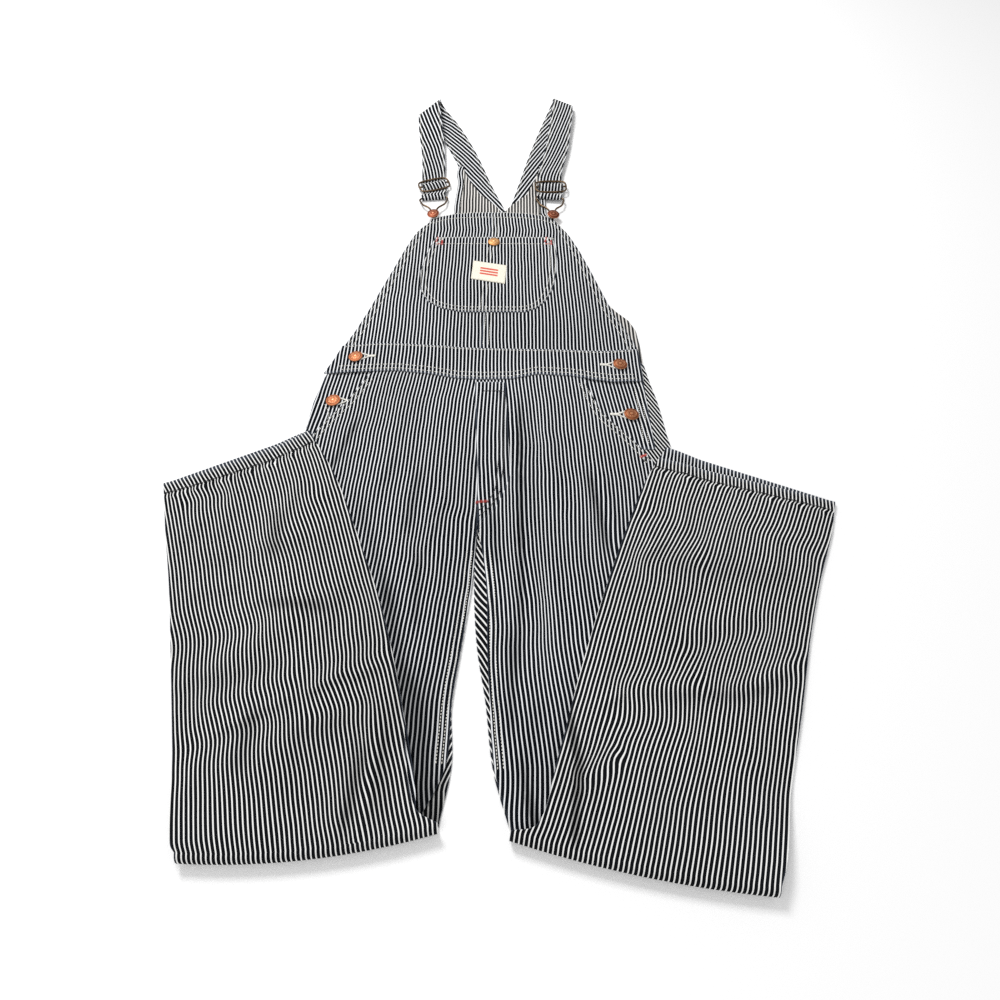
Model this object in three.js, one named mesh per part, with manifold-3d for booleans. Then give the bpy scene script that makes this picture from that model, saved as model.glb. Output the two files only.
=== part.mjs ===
// Bib dungarees in striped denim, laid flat on their back, with both legs folded up at the knee.
// Millimetres. +X is the viewer's right, +Y runs from the legs to the straps, +Z is up from the floor.
// Left and right are the viewer's. The origin is at the middle of the outline, on the floor.
import * as THREE from 'three';
import { mergeVertices } from 'three/addons/utils/BufferGeometryUtils.js';
import Module from 'manifold-3d';

// Driving sizes
const WALL = 1.2;           // one layer of denim with its seam allowances
const BAND_WALL = 2.0;      // the waistband, which is two layers
const SEAM = 0.3;           // between pieces that are sewn together
const LAY = 0.9;            // between a folded leg and what it lies on
const HEM_RISE = 0.9;       // what a turned hem adds to the wall
const HEM_WIDTH = 13;
const STRAP_WIDTH = 38;
const FOLD_RADIUS = 7.2;    // outside radius of the folded knee
const FOLD_REACH = 95;      // how far from the knee its lift dies away
const RAMP = 34;            // how far a leg takes to come down from the thigh to the floor
const WAIST_JOIN = -20;     // where the bib and the legs meet under the waistband
const BIB_TOP = 304;
const CROTCH = -278;
const COPPER = 0xb5714a;
const STEEL = 0x5d5447;
const DENIM = 0x4b4f5a;
const INSIDE = 0x8f8d88;

// The front of the body: side edges, centre seam and how far the cloth stands off the back.
const BODY = [
  { y: 300, left: -101, right: 89, centre: -8, dome: 3 },
  { y: 265, left: -121, right: 105, centre: -8, dome: 3.5 },
  { y: 217, left: -138, right: 123, centre: -8, dome: 4 },
  { y: 170, left: -152, right: 137, centre: -10, dome: 4.5 },
  { y: 126, left: -165.5, right: 149, centre: -13, dome: 5 },
  { y: 83, left: -178.5, right: 161, centre: -15, dome: 5 },
  { y: 43, left: -192, right: 177, centre: -18, dome: 5 },
  { y: 8, left: -206, right: 189, centre: -20, dome: 5.5 },
  { y: -20, left: -214, right: 190, centre: -24, dome: 6 },
  { y: -48, left: -224, right: 191, centre: -27, dome: 6 },
  { y: -90, left: -232, right: 192, centre: -26, dome: 6 },
  { y: -142, left: -235.5, right: 193, centre: -24, dome: 6 },
  { y: -190, left: -237, right: 194, centre: -22, dome: 6 },
  { y: -240, left: -239, right: 213, centre: -21, dome: 6 },
  { y: -278, left: -242, right: 216, centre: -20.5, dome: 6 },
  { y: -660, left: -276, right: 242, centre: -20, dome: 6 },
];

// The back above the waist, seen past the bib: side edges and the edge that the straps are sewn to.
const BACK = [
  { y: 424, left: -60.5, leftIn: -54, rightIn: 70, right: 75 },
  { y: 392, left: -62, leftIn: -43, rightIn: 60, right: 76 },
  { y: 357, left: -65, leftIn: -26, rightIn: 48, right: 77 },
  { y: 325, left: -67, leftIn: 0, rightIn: 20, right: 77 },
  { y: 306, left: -67, leftIn: 9.8, rightIn: 10.2, right: 77 },
  { y: 250, left: -96, leftIn: 7.8, rightIn: 8.2, right: 98 },
  { y: 170, left: -134, leftIn: 3.8, rightIn: 4.2, right: 126 },
  { y: 104, left: -163, leftIn: -0.7, rightIn: -0.3, right: 153 },
  { y: 83, left: -172, leftIn: -2.2, rightIn: -1.8, right: 166 },
  { y: 63, left: -181, leftIn: -3.7, rightIn: -3.3, right: 183 },
  { y: 43, left: -190, leftIn: -5.2, rightIn: -4.8, right: 191 },
  { y: 14, left: -203, leftIn: -7.2, rightIn: -6.8, right: 193.5 },
  { y: -20, left: -213, leftIn: -9.2, rightIn: -8.8, right: 194.5 },
];

// The legs: edges of the thigh from the waist to the knee, then of the shin from the knee to the hem.
// fi and fo are the front panel's inner and outer edges, bi and bo the back panel's.
// The knee's front edge, xf, is set in where the inner seam rolls under, and bulge bows the fold.
const LEGS = {
  left: {
    side: -1,
    thigh: [
      { y: -20.3, fi: -24, fo: -150, bi: -9.2, bo: -213, drop: 0 },
      { y: -48, fi: -27, fo: -166, bi: -12, bo: -223, drop: 0 },
      { y: -90, fi: -26, fo: -188, bi: -14, bo: -231.5, drop: 0 },
      { y: -118, fi: -25, fo: -208, bi: -15, bo: -234, drop: 0 },
      { y: -142, fi: -24, fo: -223, bi: -16, bo: -235.5, drop: 0 },
      { y: -165, fi: -23, fo: -236, bi: -17, bo: -236, drop: 0 },
      { y: -200, fi: -22, fo: -237.5, bi: -18, bo: -237.5, drop: 0 },
      { y: -240, fi: -21, fo: -239, bi: -19, bo: -239, drop: 0 },
      { y: -278, fi: -21, fo: -242, bi: -20, bo: -242, drop: 3 },
      { y: -320, fi: -23, fo: -245, bi: -22, bo: -245, drop: 6 },
      { y: -360, fi: -26, fo: -248, bi: -26, bo: -248, drop: 9 },
      { y: -420, fi: -34, fo: -254, bi: -34, bo: -254, drop: 12 },
      { y: -480, fi: -42, fo: -260, bi: -42, bo: -260, drop: 16 },
      { y: -540, fi: -46, fo: -266, bi: -40, bo: -266, drop: 20 },
    ],
    knee: { xi: -49, yi: -600, xo: -273, yo: -624, xf: -74, bulge: 9 },
    shin: [
      { xi: -70, yi: -580, xo: -279, yo: -610 },
      { xi: -90, yi: -481, xo: -303, yo: -522 },
      { xi: -117, yi: -385, xo: -327, yo: -432 },
      { xi: -150, yi: -300, xo: -349, yo: -352 },
      { xi: -188, yi: -211, xo: -371, yo: -281 },
      { xi: -230, yi: -139, xo: -389, yo: -217 },
    ],
    hemShort: { inner: 2, middle: 9, outer: 1 },
    shinDome: 3.5,
  },
  right: {
    side: 1,
    thigh: [
      { y: -20.3, fi: -23.7, fo: 108, bi: -8.9, bo: 194.5, drop: 0 },
      { y: -48, fi: -26.7, fo: 112, bi: -11.7, bo: 198, drop: 0 },
      { y: -90, fi: -25.7, fo: 124, bi: -13.7, bo: 205, drop: 0 },
      { y: -118, fi: -24.7, fo: 136, bi: -14.7, bo: 208, drop: 0 },
      { y: -142, fi: -23.7, fo: 157, bi: -15.7, bo: 210, drop: 0 },
      { y: -165, fi: -22.7, fo: 175, bi: -16.7, bo: 213, drop: 0 },
      { y: -188, fi: -21.7, fo: 190, bi: -17.7, bo: 214, drop: 0 },
      { y: -215, fi: -21.2, fo: 209, bi: -18.2, bo: 215, drop: 0 },
      { y: -245, fi: -20.7, fo: 215.5, bi: -18.7, bo: 215.5, drop: 0 },
      { y: -278, fi: -20, fo: 216, bi: -19.7, bo: 216, drop: 6 },
      { y: -320, fi: -13, fo: 219, bi: -20, bo: 219, drop: 8 },
      { y: -365, fi: -9, fo: 222, bi: -19.5, bo: 222, drop: 10 },
      { y: -425, fi: -8, fo: 226, bi: -18.3, bo: 226, drop: 15 },
      { y: -480, fi: -5, fo: 230, bi: -9.3, bo: 230, drop: 20 },
      { y: -545, fi: 0, fo: 234, bi: -1.5, bo: 234, drop: 25 },
    ],
    knee: { xi: 13, yi: -606, xo: 239, yo: -650, xf: 15, bulge: 6 },
    shin: [
      { xi: 37, yi: -594, xo: 249, yo: -625 },
      { xi: 60, yi: -530, xo: 272, yo: -556 },
      { xi: 83, yi: -456, xo: 297, yo: -488 },
      { xi: 112, yi: -372, xo: 323, yo: -412 },
      { xi: 143, yi: -292, xo: 350, yo: -344 },
      { xi: 176, yi: -216, xo: 376, yo: -287 },
      { xi: 206, yi: -165, xo: 391, yo: -243 },
    ],
    hemShort: { inner: 24, middle: 17, outer: 2 },
    shinDome: 3.5,
  },
};

// The largest folds, each a soft ridge between two places: half-width across it and height.
const BODY_FOLDS = [
  { x0: 26, y0: -60, x1: 20, y1: -420, wide: 14, high: 4 },
  { x0: 62, y0: -70, x1: 64, y1: -230, wide: 14, high: 2 },
  { x0: -66, y0: -62, x1: -78, y1: -300, wide: 16, high: 2 },
  { x0: 112, y0: -150, x1: 122, y1: -290, wide: 16, high: 2.5 },
  { x0: -150, y0: 70, x1: -168, y1: -20, wide: 18, high: 2 },
  { x0: 22, y0: -400, x1: 36, y1: -560, wide: 16, high: 2.5 },
];
const SHIN_FOLDS = {
  left: [
    { x0: -300, y0: -470, x1: -130, y1: -330, wide: 18, high: 4.5 },
    { x0: -290, y0: -350, x1: -180, y1: -270, wide: 16, high: 3 },
    { x0: -240, y0: -560, x1: -110, y1: -470, wide: 18, high: 3.5 },
  ],
  right: [
    { x0: 64, y0: -585, x1: 74, y1: -470, wide: 11, high: 4.5 },
    { x0: 130, y0: -430, x1: 290, y1: -380, wide: 18, high: 4 },
    { x0: 200, y0: -300, x1: 330, y1: -350, wide: 16, high: 3 },
  ],
};

// The straps' middle surface from the back, over the fold at the shoulder, to the slide: inner and outer edge.
const STRAPS = {
  left: [
    { xi: 16, yi: 308, zi: 0.6, xo: -20, yo: 296, zo: 0.6 },
    { xi: -6, yi: 376, zi: 0.6, xo: -42, yo: 366, zo: 0.6 },
    { xi: -37, yi: 484, zi: 0.6, xo: -73, yo: 466, zo: 0.6 },
    { xi: -68, yi: 568, zi: 0.6, xo: -102, yo: 540, zo: 0.6 },
    { xi: -88, yi: 610, zi: 0.8, xo: -121, yo: 570, zo: 0.8 },
    { xi: -98, yi: 630, zi: 3, xo: -133, yo: 587, zo: 2 },
    { xi: -102, yi: 637, zi: 9, xo: -138, yo: 594, zo: 5.4 },
    { xi: -103, yi: 630, zi: 15, xo: -139, yo: 586, zo: 8.8 },
    { xi: -102, yi: 604, zi: 16.4, xo: -138, yo: 566, zo: 10 },
    { xi: -96, yi: 552, zi: 12.4, xo: -134, yo: 522, zo: 8.6 },
    { xi: -90, yi: 490, zi: 8, xo: -127, yo: 470, zo: 6 },
  ],
  right: [
    { xi: 18, yi: 308, zi: 0.6, xo: 58, yo: 296, zo: 0.6 },
    { xi: 33, yi: 376, zi: 0.6, xo: 69, yo: 365, zo: 0.6 },
    { xi: 56, yi: 478, zi: 0.6, xo: 91, yo: 468, zo: 0.6 },
    { xi: 75, yi: 552, zi: 0.6, xo: 111, yo: 541, zo: 0.6 },
    { xi: 91, yi: 610, zi: 0.8, xo: 126, yo: 594, zo: 0.8 },
    { xi: 98, yi: 633, zi: 2.8, xo: 133, yo: 615, zo: 2 },
    { xi: 101, yi: 641, zi: 8.6, xo: 136, yo: 622, zo: 6.2 },
    { xi: 101, yi: 633, zi: 14.4, xo: 135, yo: 614, zo: 10.4 },
    { xi: 99, yi: 606, zi: 15.6, xo: 134, yo: 594, zo: 11.4 },
    { xi: 91, yi: 545, zi: 12, xo: 128, yo: 540, zo: 9.6 },
    { xi: 82, yi: 480, zi: 8.6, xo: 120, yo: 478, zo: 8.2 },
  ],
};

// The slide, the wire buckle that the strap's loop holds, and the button that the buckle hooks over.
// rest is the height of the loop's lower layer; turn is in radians about +Z.
const WIRE = 1.4;
const SLIDE = { width: 47, height: 26, round: 4 };
const BUCKLE = { width: 44, drop: 9, shoulder: 17, neck: 4.6, eye: 5.4 };
const HARDWARE = {
  left: { slideX: -102, slideY: 381, slideTurn: 0.34, barX: -101, barY: 347, barTurn: 0.1, buttonX: -98.5, buttonY: 297, rest: 0.9 },
  right: { slideX: 87, slideY: 371, slideTurn: 0.03, barX: 84, barY: 344, barTurn: -0.12, buttonX: 87.5, buttonY: 295, rest: 3.8 },
};

// Buttons: a domed cap on a short shank, in the order of their places down the body.
const CAP_RADIUS = 9.4;
const SHANK_RADIUS = 3.2;
const SNAP_RADIUS = 9;
const BUTTONS = {
  waist_button_left: { x: -185, y: -16 },
  hip_button_left: { x: -206, y: -90 },
  waist_button_right: { x: 162, y: -30 },
  hip_button_right: { x: 169, y: -113 },
};

const POCKET = [
  { y: 240, left: -93, right: 85.5 },
  { y: 202, left: -103.5, right: 89 },
  { y: 162, left: -110.5, right: 87 },
  { y: 121, left: -108.5, right: 80 },
  { y: 95, left: -97, right: 69 },
  { y: 80, left: -77, right: 56 },
  { y: 72, left: -48, right: 40 },
];
// The waistband's upper and lower edges, from side to side.
const BAND = [
  { x: -225, high: 10, low: -41 },
  { x: -128, high: 9, low: -41 },
  { x: -86, high: 5, low: -47 },
  { x: -50, high: 1, low: -55 },
  { x: -20, high: -1, low: -57 },
  { x: 20, high: -2, low: -56 },
  { x: 53, high: -3, low: -47.5 },
  { x: 96, high: -4, low: -50 },
  { x: 125, high: -5, low: -56 },
  { x: 150, high: -4, low: -59 },
  { x: 195, high: 4, low: -54 },
];
const LABEL = { x: -11, y: 156, width: 50, height: 41, turn: -0.23, lean: -0.07 };
const SNAP = { x: -4, y: 226 };
const FLY = { top: -58, low: -272, wide: 39, curve: 60 };

// Small helpers
const clamp = (t, low, high) => Math.min(high, Math.max(low, t));
const mix = (a, b, t) => a + (b - a) * t;
const smooth = (t) => {
  const k = clamp(t, 0, 1);
  return k * k * (3 - 2 * k);
};

// A table's column at a height y, between its rows.
function column(table, name, y) {
  const above = table.findIndex((row) => row.y <= y);
  if (above === 0) return table[0][name];
  if (above < 0) return table[table.length - 1][name];
  const [a, b] = [table[above - 1], table[above]];
  return mix(a[name], b[name], (a.y - y) / (a.y - b.y));
}

// How high a list of ridges stands at a place.
function ridges(folds, x, y) {
  let rise = 0;
  for (const f of folds) {
    const [dx, dy] = [f.x1 - f.x0, f.y1 - f.y0];
    const long = Math.hypot(dx, dy);
    const along = ((x - f.x0) * dx + (y - f.y0) * dy) / (long * long);
    const across = ((x - f.x0) * dy - (y - f.y0) * dx) / long;
    const fade = smooth(Math.min(along, 1 - along) * 4);
    rise += f.high * fade * Math.exp(-((across / f.wide) ** 2));
  }
  return rise;
}

const arch = (u) => 1 - (2 * clamp(u, 0, 1) - 1) ** 4;

// Where the strap ends lie under the back, the back and the bib are lifted by a layer.
const strapLift = (y) => (WALL + SEAM) * smooth((y - 225) / 45);

// The fold at a knee: its two ends, moved in to the axis of the turn, and its outward direction.
function kneeOf(leg) {
  const { xi, yi, xo, yo } = leg.knee;
  const long = Math.hypot(xo - xi, yo - yi);
  let out = new THREE.Vector2(yo - yi, xi - xo).divideScalar(long);
  if (out.y > 0) out = out.negate();
  const inner = new THREE.Vector2(xi, yi).addScaledVector(out, -FOLD_RADIUS);
  const outer = new THREE.Vector2(xo, yo).addScaledVector(out, -FOLD_RADIUS);
  const front = inner.clone().lerp(outer, (leg.knee.xf - xi) / (xo - xi));
  return { inner, outer, out, front };
}
for (const leg of Object.values(LEGS)) leg.fold = kneeOf(leg);

// The distance of a place from the axis of a knee's turn.
const fromKnee = (leg, x, y) =>
  (leg.fold.inner.x - x) * leg.fold.out.x + (leg.fold.inner.y - y) * leg.fold.out.y;

// How far the front stands off its resting height on the back.
function frontRise(x, y) {
  const [left, right] = [column(BODY, 'left', y), column(BODY, 'right', y)];
  const dome = column(BODY, 'dome', y);
  const whole = dome * arch((x - left) / (right - left));
  const leg = x < column(BODY, 'centre', y) ? LEGS.left : LEGS.right;
  const inner = column(leg.thigh, 'fi', y);
  const outer = column(leg.thigh, 'bo', y);
  const one = dome * arch((x - inner) / (outer - inner));
  const calm = smooth(fromKnee(leg, x, y) / FOLD_REACH);
  const split = smooth((CROTCH + 80 - y) / 160);
  const held = mix(arch((x - left) / (right - left)), arch((x - inner) / (outer - inner)), split);
  return (mix(whole, one, split) + ridges(BODY_FOLDS, x, y) * held) * calm;
}
const frontHeight = (x, y) => WALL + SEAM + strapLift(y) + frontRise(x, y);

// The height that a shin's lower layer lies at: on the thigh, and down to the floor beyond it.
function shinLay(leg, x, y) {
  const edge = column(leg.thigh, 'bo', y);
  const past = leg.side * (x - edge);
  const held = leg.side > 0 ? Math.min(x, edge) : Math.max(x, edge);
  const onThigh = frontHeight(held, y) + WALL + LAY;
  const rest = onThigh * (1 - smooth((past - 2) / RAMP));
  const turned = 2 * FOLD_RADIUS - 2 * WALL - SEAM;
  return mix(turned, rest, smooth(fromKnee(leg, x, y) / FOLD_REACH));
}

// A closed wall between two grids of points, outer and inner, each a list of rows.
function wall(outer, inner) {
  const [rows, cols] = [outer.length, outer[0].length];
  const points = [...outer.flat(), ...inner.flat()];
  const at = (side, i, j) => side * rows * cols + i * cols + j;
  const index = [];
  const quad = (a, b, c, d) => index.push(a, b, c, a, c, d);
  for (let i = 0; i + 1 < rows; i++) {
    for (let j = 0; j + 1 < cols; j++) {
      quad(at(0, i, j), at(0, i + 1, j), at(0, i + 1, j + 1), at(0, i, j + 1));
      quad(at(1, i, j), at(1, i, j + 1), at(1, i + 1, j + 1), at(1, i + 1, j));
    }
    quad(at(0, i, 0), at(1, i, 0), at(1, i + 1, 0), at(0, i + 1, 0));
    quad(at(0, i + 1, cols - 1), at(1, i + 1, cols - 1), at(1, i, cols - 1), at(0, i, cols - 1));
  }
  for (let j = 0; j + 1 < cols; j++) {
    quad(at(0, 0, j + 1), at(1, 0, j + 1), at(1, 0, j), at(0, 0, j));
    quad(at(0, rows - 1, j), at(1, rows - 1, j), at(1, rows - 1, j + 1), at(0, rows - 1, j + 1));
  }
  let volume = 0;
  for (let k = 0; k < index.length; k += 3) {
    const [a, b, c] = [points[index[k]], points[index[k + 1]], points[index[k + 2]]];
    volume += a.dot(b.clone().cross(c));
  }
  if (volume < 0) index.reverse();
  const geometry = new THREE.BufferGeometry().setFromPoints(points);
  geometry.setIndex(index);
  geometry.computeVertexNormals();
  return geometry;
}

// Fractions across a panel, closer together at its two edges.
function spread(count, rim) {
  const inside = Array.from({ length: count }, (_, k) => mix(rim, 1 - rim, k / (count - 1)));
  return [0, ...inside, 1];
}

// A panel that lies flat: rows of left and right edges, an underside height and a thickness.
function flatPanel(rows, across, under, thick) {
  const lower = rows.map((row) =>
    across.map((s) => {
      const [x, y] = [mix(row.xa, row.xb, s), mix(row.ya, row.yb, s)];
      return new THREE.Vector3(x, y, under(x, y));
    }),
  );
  const upper = lower.map((line, i) =>
    line.map((p, j) => new THREE.Vector3(p.x, p.y, p.z + thick(i / (rows.length - 1), across[j], p))),
  );
  return wall(upper, lower);
}

// Level rows between two heights, with edges given by functions of y.
function levelRows(high, low, count, left, right) {
  return Array.from({ length: count }, (_, k) => {
    const y = mix(high, low, k / (count - 1));
    return { xa: left(y), ya: y, xb: right(y), yb: y };
  });
}

// A smooth run of places through a list of points.
function run(points, count) {
  const curve = new THREE.CatmullRomCurve3(points, false, 'centripetal');
  return Array.from({ length: count }, (_, k) => curve.getPoint(k / (count - 1)));
}

// One panel of a leg, from the waist round the knee to the hem.
// The back panel is the outside of the turn, and the front panel the inside.
function legPanel(leg, isBack) {
  const { outer, out } = leg.fold;
  const inner = isBack ? leg.fold.inner : leg.fold.front;
  const whole = outer.x - leg.fold.inner.x;
  const bow = (s) => {
    const share = (mix(inner.x, outer.x, s) - leg.fold.inner.x) / whole;
    return out.clone().multiplyScalar(leg.knee.bulge * 4 * share * (1 - share));
  };
  const edges = isBack ? ['bi', 'bo'] : ['fi', 'fo'];
  const ends = (side) => [
    ...leg.thigh.map((row) => new THREE.Vector3(row[edges[side]], row.y - (side ? row.drop : 0), 0)),
    side ? new THREE.Vector3(outer.x, outer.y, 0) : new THREE.Vector3(inner.x, inner.y, 0),
  ];
  const shinEnds = (side) => [
    side ? new THREE.Vector3(outer.x, outer.y, 0) : new THREE.Vector3(inner.x, inner.y, 0),
    ...leg.shin.map((row) => (side ? new THREE.Vector3(row.xo, row.yo, 0) : new THREE.Vector3(row.xi, row.yi, 0))),
  ];
  const across = spread(11, 0.035);
  const thighRows = isBack ? 12 : 19;
  const [thighIn, thighOut] = [run(ends(0), thighRows), run(ends(1), thighRows)];
  const [outside, inside] = [[], []];
  for (let k = 0; k < thighIn.length; k++) {
    const near = smooth(1 - (thighIn.length - 1 - k) / 3);
    const place = (s) => [
      mix(thighIn[k].x, thighOut[k].x, s) + bow(s).x * near,
      mix(thighIn[k].y, thighOut[k].y, s) + bow(s).y * near,
    ];
    const low = ([x, y]) => (isBack ? 0 : frontHeight(x, y));
    outside.push(across.map((s) => new THREE.Vector3(...place(s), low(place(s)))));
    inside.push(across.map((s) => new THREE.Vector3(...place(s), low(place(s)) + WALL)));
  }
  const turn = isBack ? FOLD_RADIUS : FOLD_RADIUS - WALL - SEAM;
  for (let k = -2; k <= 2; k++) {
    const angle = (k * Math.PI) / 6;
    const ring = (radius) =>
      across.map((s) => {
        const reach = radius * Math.cos(angle);
        const x = mix(inner.x, outer.x, s) + bow(s).x + out.x * reach;
        const y = mix(inner.y, outer.y, s) + bow(s).y + out.y * reach;
        return new THREE.Vector3(x, y, FOLD_RADIUS + radius * Math.sin(angle));
      });
    outside.push(ring(turn));
    inside.push(ring(turn - WALL));
  }
  const shinRows = 17;
  const [shinIn, shinOut] = [run(shinEnds(0), shinRows), run(shinEnds(1), shinRows)];
  const shinLong = shinIn[0].distanceTo(shinIn[shinRows - 1]);
  const hemAt = 1 - HEM_WIDTH / shinLong;
  const steps = [...shinIn.keys()].map((k) => k / (shinRows - 1));
  if (isBack) steps.push(hemAt, hemAt + 0.004);
  const curveAt = (line, t) => {
    const k = clamp(t, 0, 1) * (line.length - 1);
    const low = Math.min(Math.floor(k), line.length - 2);
    return line[low].clone().lerp(line[low + 1], k - low);
  };
  steps.sort((a, b) => a - b);
  for (const t of steps) {
    const [high, low] = [[], []];
    for (const s of across) {
      const { inner: a, middle: m, outer: b } = leg.hemShort;
      const short = isBack ? mix(a, b, s) + (m - mix(a, b, 0.5)) * arch(s) : 0;
      const at = t * (1 - short / shinLong);
      const p = curveAt(shinIn, at).lerp(curveAt(shinOut, at), s);
      const near = smooth(1 - t * 5);
      p.x += bow(s).x * near;
      p.y += bow(s).y * near;
      const lay = shinLay(leg, p.x, p.y);
      const calm = smooth(fromKnee(leg, p.x, p.y) / FOLD_REACH);
      const folds = ridges(leg.side < 0 ? SHIN_FOLDS.left : SHIN_FOLDS.right, p.x, p.y);
      const puff = (leg.shinDome + folds) * arch(s) * calm;
      const base = isBack ? lay + WALL + SEAM + 0.3 * smooth(t * 12) + puff : lay;
      const hem = isBack && t > hemAt ? HEM_RISE : 0;
      high.push(new THREE.Vector3(p.x, p.y, base + WALL + hem));
      low.push(new THREE.Vector3(p.x, p.y, base));
    }
    outside.push(high);
    inside.push(low);
  }
  return wall(outside, inside);
}

// A ribbon of one thickness whose middle surface runs through rows of points.
function ribbon(rows, thick) {
  const [over, under] = [[], []];
  rows.forEach((row, i) => {
    const [before, after] = [rows[Math.max(i - 1, 0)], rows[Math.min(i + 1, rows.length - 1)]];
    const [top, low] = [[], []];
    row.forEach((p, j) => {
      const along = after[j].clone().sub(before[j]);
      const across = row[Math.min(j + 1, row.length - 1)].clone().sub(row[Math.max(j - 1, 0)]);
      const normal = along.cross(across).setLength(thick / 2);
      for (const [line, point] of [[top, p.clone().add(normal)], [low, p.clone().sub(normal)]]) {
        line.push(point.setZ(Math.max(point.z, 0)));
      }
    });
    over.push(top);
    under.push(low);
  });
  return wall(over, under);
}

const turnedBy = (x, y, angle) => [x * Math.cos(angle) - y * Math.sin(angle), x * Math.sin(angle) + y * Math.cos(angle)];

// The strap runs under the slide's outer bars and over its middle one, then round the buckle's bar and back.
function strapRows(side) {
  const h = HARDWARE[side];
  const out = side === 'left' ? -1 : 1;
  const bars = h.rest + 4;
  const half = STRAP_WIDTH / 2;
  const level = (x, y, turn, z) => {
    const [dx, dy] = turnedBy(out * half, 0, turn);
    return { xi: x - dx, yi: y - dy, zi: z, xo: x + dx, yo: y + dy, zo: z };
  };
  const atSlide = (offset, z, turn = h.slideTurn, lean = h.slideTurn) => {
    const [dx, dy] = turnedBy(0, offset, lean);
    return level(h.slideX + dx, h.slideY + dy, turn, z);
  };
  const atBar = (offset, z) => {
    const [dx, dy] = turnedBy(0, offset, h.barTurn);
    return level(h.barX + dx, h.barY + dy, h.barTurn, z);
  };
  const bend = WIRE + SEAM + WALL / 2;
  const reach = SLIDE.height / 2;
  const rows = [
    ...STRAPS[side],
    atSlide(reach + 20, bars - 0.6, h.slideTurn * 0.45, h.slideTurn * 0.2),
    atSlide(reach + 5, bars - bend, h.slideTurn * 0.8, h.slideTurn * 0.4),
    atSlide(reach - 2, bars - bend),
    atSlide(2.4, bars + bend),
    atSlide(-2.4, bars + bend),
    atSlide(-reach + 2, bars - bend),
    atSlide(-reach - 3, bars - bend),
    atBar(5.5, h.rest + 2 * bend + 0.3),
    atBar(0, h.rest + 2 * bend),
    atBar(-bend * 0.85, h.rest + bend * 1.5),
    atBar(-bend * 0.85, h.rest + bend * 0.5),
    atBar(0, h.rest),
    atBar(9, h.rest),
    atSlide(0, h.rest),
    atSlide(reach + 3, h.rest),
  ];
  const inner = run(rows.map((r) => new THREE.Vector3(r.xi, r.yi, r.zi)), 58);
  const outer = run(rows.map((r) => new THREE.Vector3(r.xo, r.yo, r.zo)), 58);
  return inner.map((p, k) => [0, 0.5, 1].map((s) => p.clone().lerp(outer[k], s)));
}

// Closed bodies fused into one.
const { Manifold, Mesh: SolidMesh } = await Module().then((m) => (m.setup(), m));
function solid(geometry) {
  const merged = mergeVertices(new THREE.BufferGeometry().setAttribute('position', geometry.getAttribute('position')).setIndex(geometry.index), 1e-4);
  return new Manifold(new SolidMesh({ numProp: 3, vertProperties: merged.getAttribute('position').array, triVerts: new Uint32Array(merged.index.array) }));
}
function fuse(geometries) {
  const mesh = Manifold.union(geometries.map(solid)).getMesh();
  const geometry = new THREE.BufferGeometry();
  geometry.setAttribute('position', new THREE.BufferAttribute(mesh.vertProperties, 3));
  geometry.setIndex(new THREE.BufferAttribute(mesh.triVerts, 1));
  geometry.computeVertexNormals();
  return geometry;
}

// A closed wire through points.
function wireLoop(points, steps) {
  const curve = new THREE.CatmullRomCurve3(points, true, 'centripetal');
  return new THREE.TubeGeometry(curve, steps, WIRE, 5, true);
}

// The slide: a wire frame with a middle bar.
function slide(side) {
  const h = HARDWARE[side];
  const z = h.rest + 4;
  const [a, b, r] = [SLIDE.width / 2, SLIDE.height / 2, SLIDE.round];
  const corners = [
    [-a + r, b], [a - r, b], [a, b - r], [a, -b + r], [a - r, -b], [-a + r, -b], [-a, -b + r], [-a, b - r],
  ];
  const place = ([x, y]) => {
    const [dx, dy] = turnedBy(x, y, h.slideTurn);
    return new THREE.Vector3(h.slideX + dx, h.slideY + dy, z);
  };
  const frame = wireLoop(corners.map(place), 32);
  const bar = new THREE.CylinderGeometry(WIRE, WIRE, SLIDE.width, 6);
  bar.rotateZ(Math.PI / 2 + h.slideTurn).translate(h.slideX, h.slideY, z);
  return fuse([frame, bar]);
}

// The buckle: a bar in the strap's loop, shoulders, and a keyhole that closes round the button's shank.
function buckle(side) {
  const h = HARDWARE[side];
  const bend = WIRE + SEAM + WALL / 2;
  const zBar = h.rest + bend;
  const zEye = buttonSeat(side) + 2 * SEAM + WIRE;
  const a = BUCKLE.width / 2;
  const long = h.barY - h.buttonY;
  const half = [
    { x: 0, t: 0 }, { x: a - 3, t: 0 }, { x: a, t: 0.07 }, { x: a - 1, t: BUCKLE.drop / long },
    { x: BUCKLE.shoulder, t: 0.42 }, { x: BUCKLE.neck + 3, t: 0.62 }, { x: BUCKLE.neck, t: 0.76 },
    { x: BUCKLE.eye, t: 0.93 }, { x: BUCKLE.eye * 0.9, t: 1.06 }, { x: 0, t: 1 + BUCKLE.eye / long },
  ];
  const place = (x, t) => {
    const [dx, dy] = turnedBy(x, 0, h.barTurn * (1 - t));
    return new THREE.Vector3(mix(h.barX, h.buttonX, t) + dx, mix(h.barY, h.buttonY, t) + dy, mix(zBar, zEye, smooth((t - 0.08) / 0.5)));
  };
  const right = half.map((p) => place(p.x, p.t));
  const left = half.slice(1, -1).reverse().map((p) => place(-p.x, p.t));
  return wireLoop([...right, ...left], 56);
}

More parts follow.
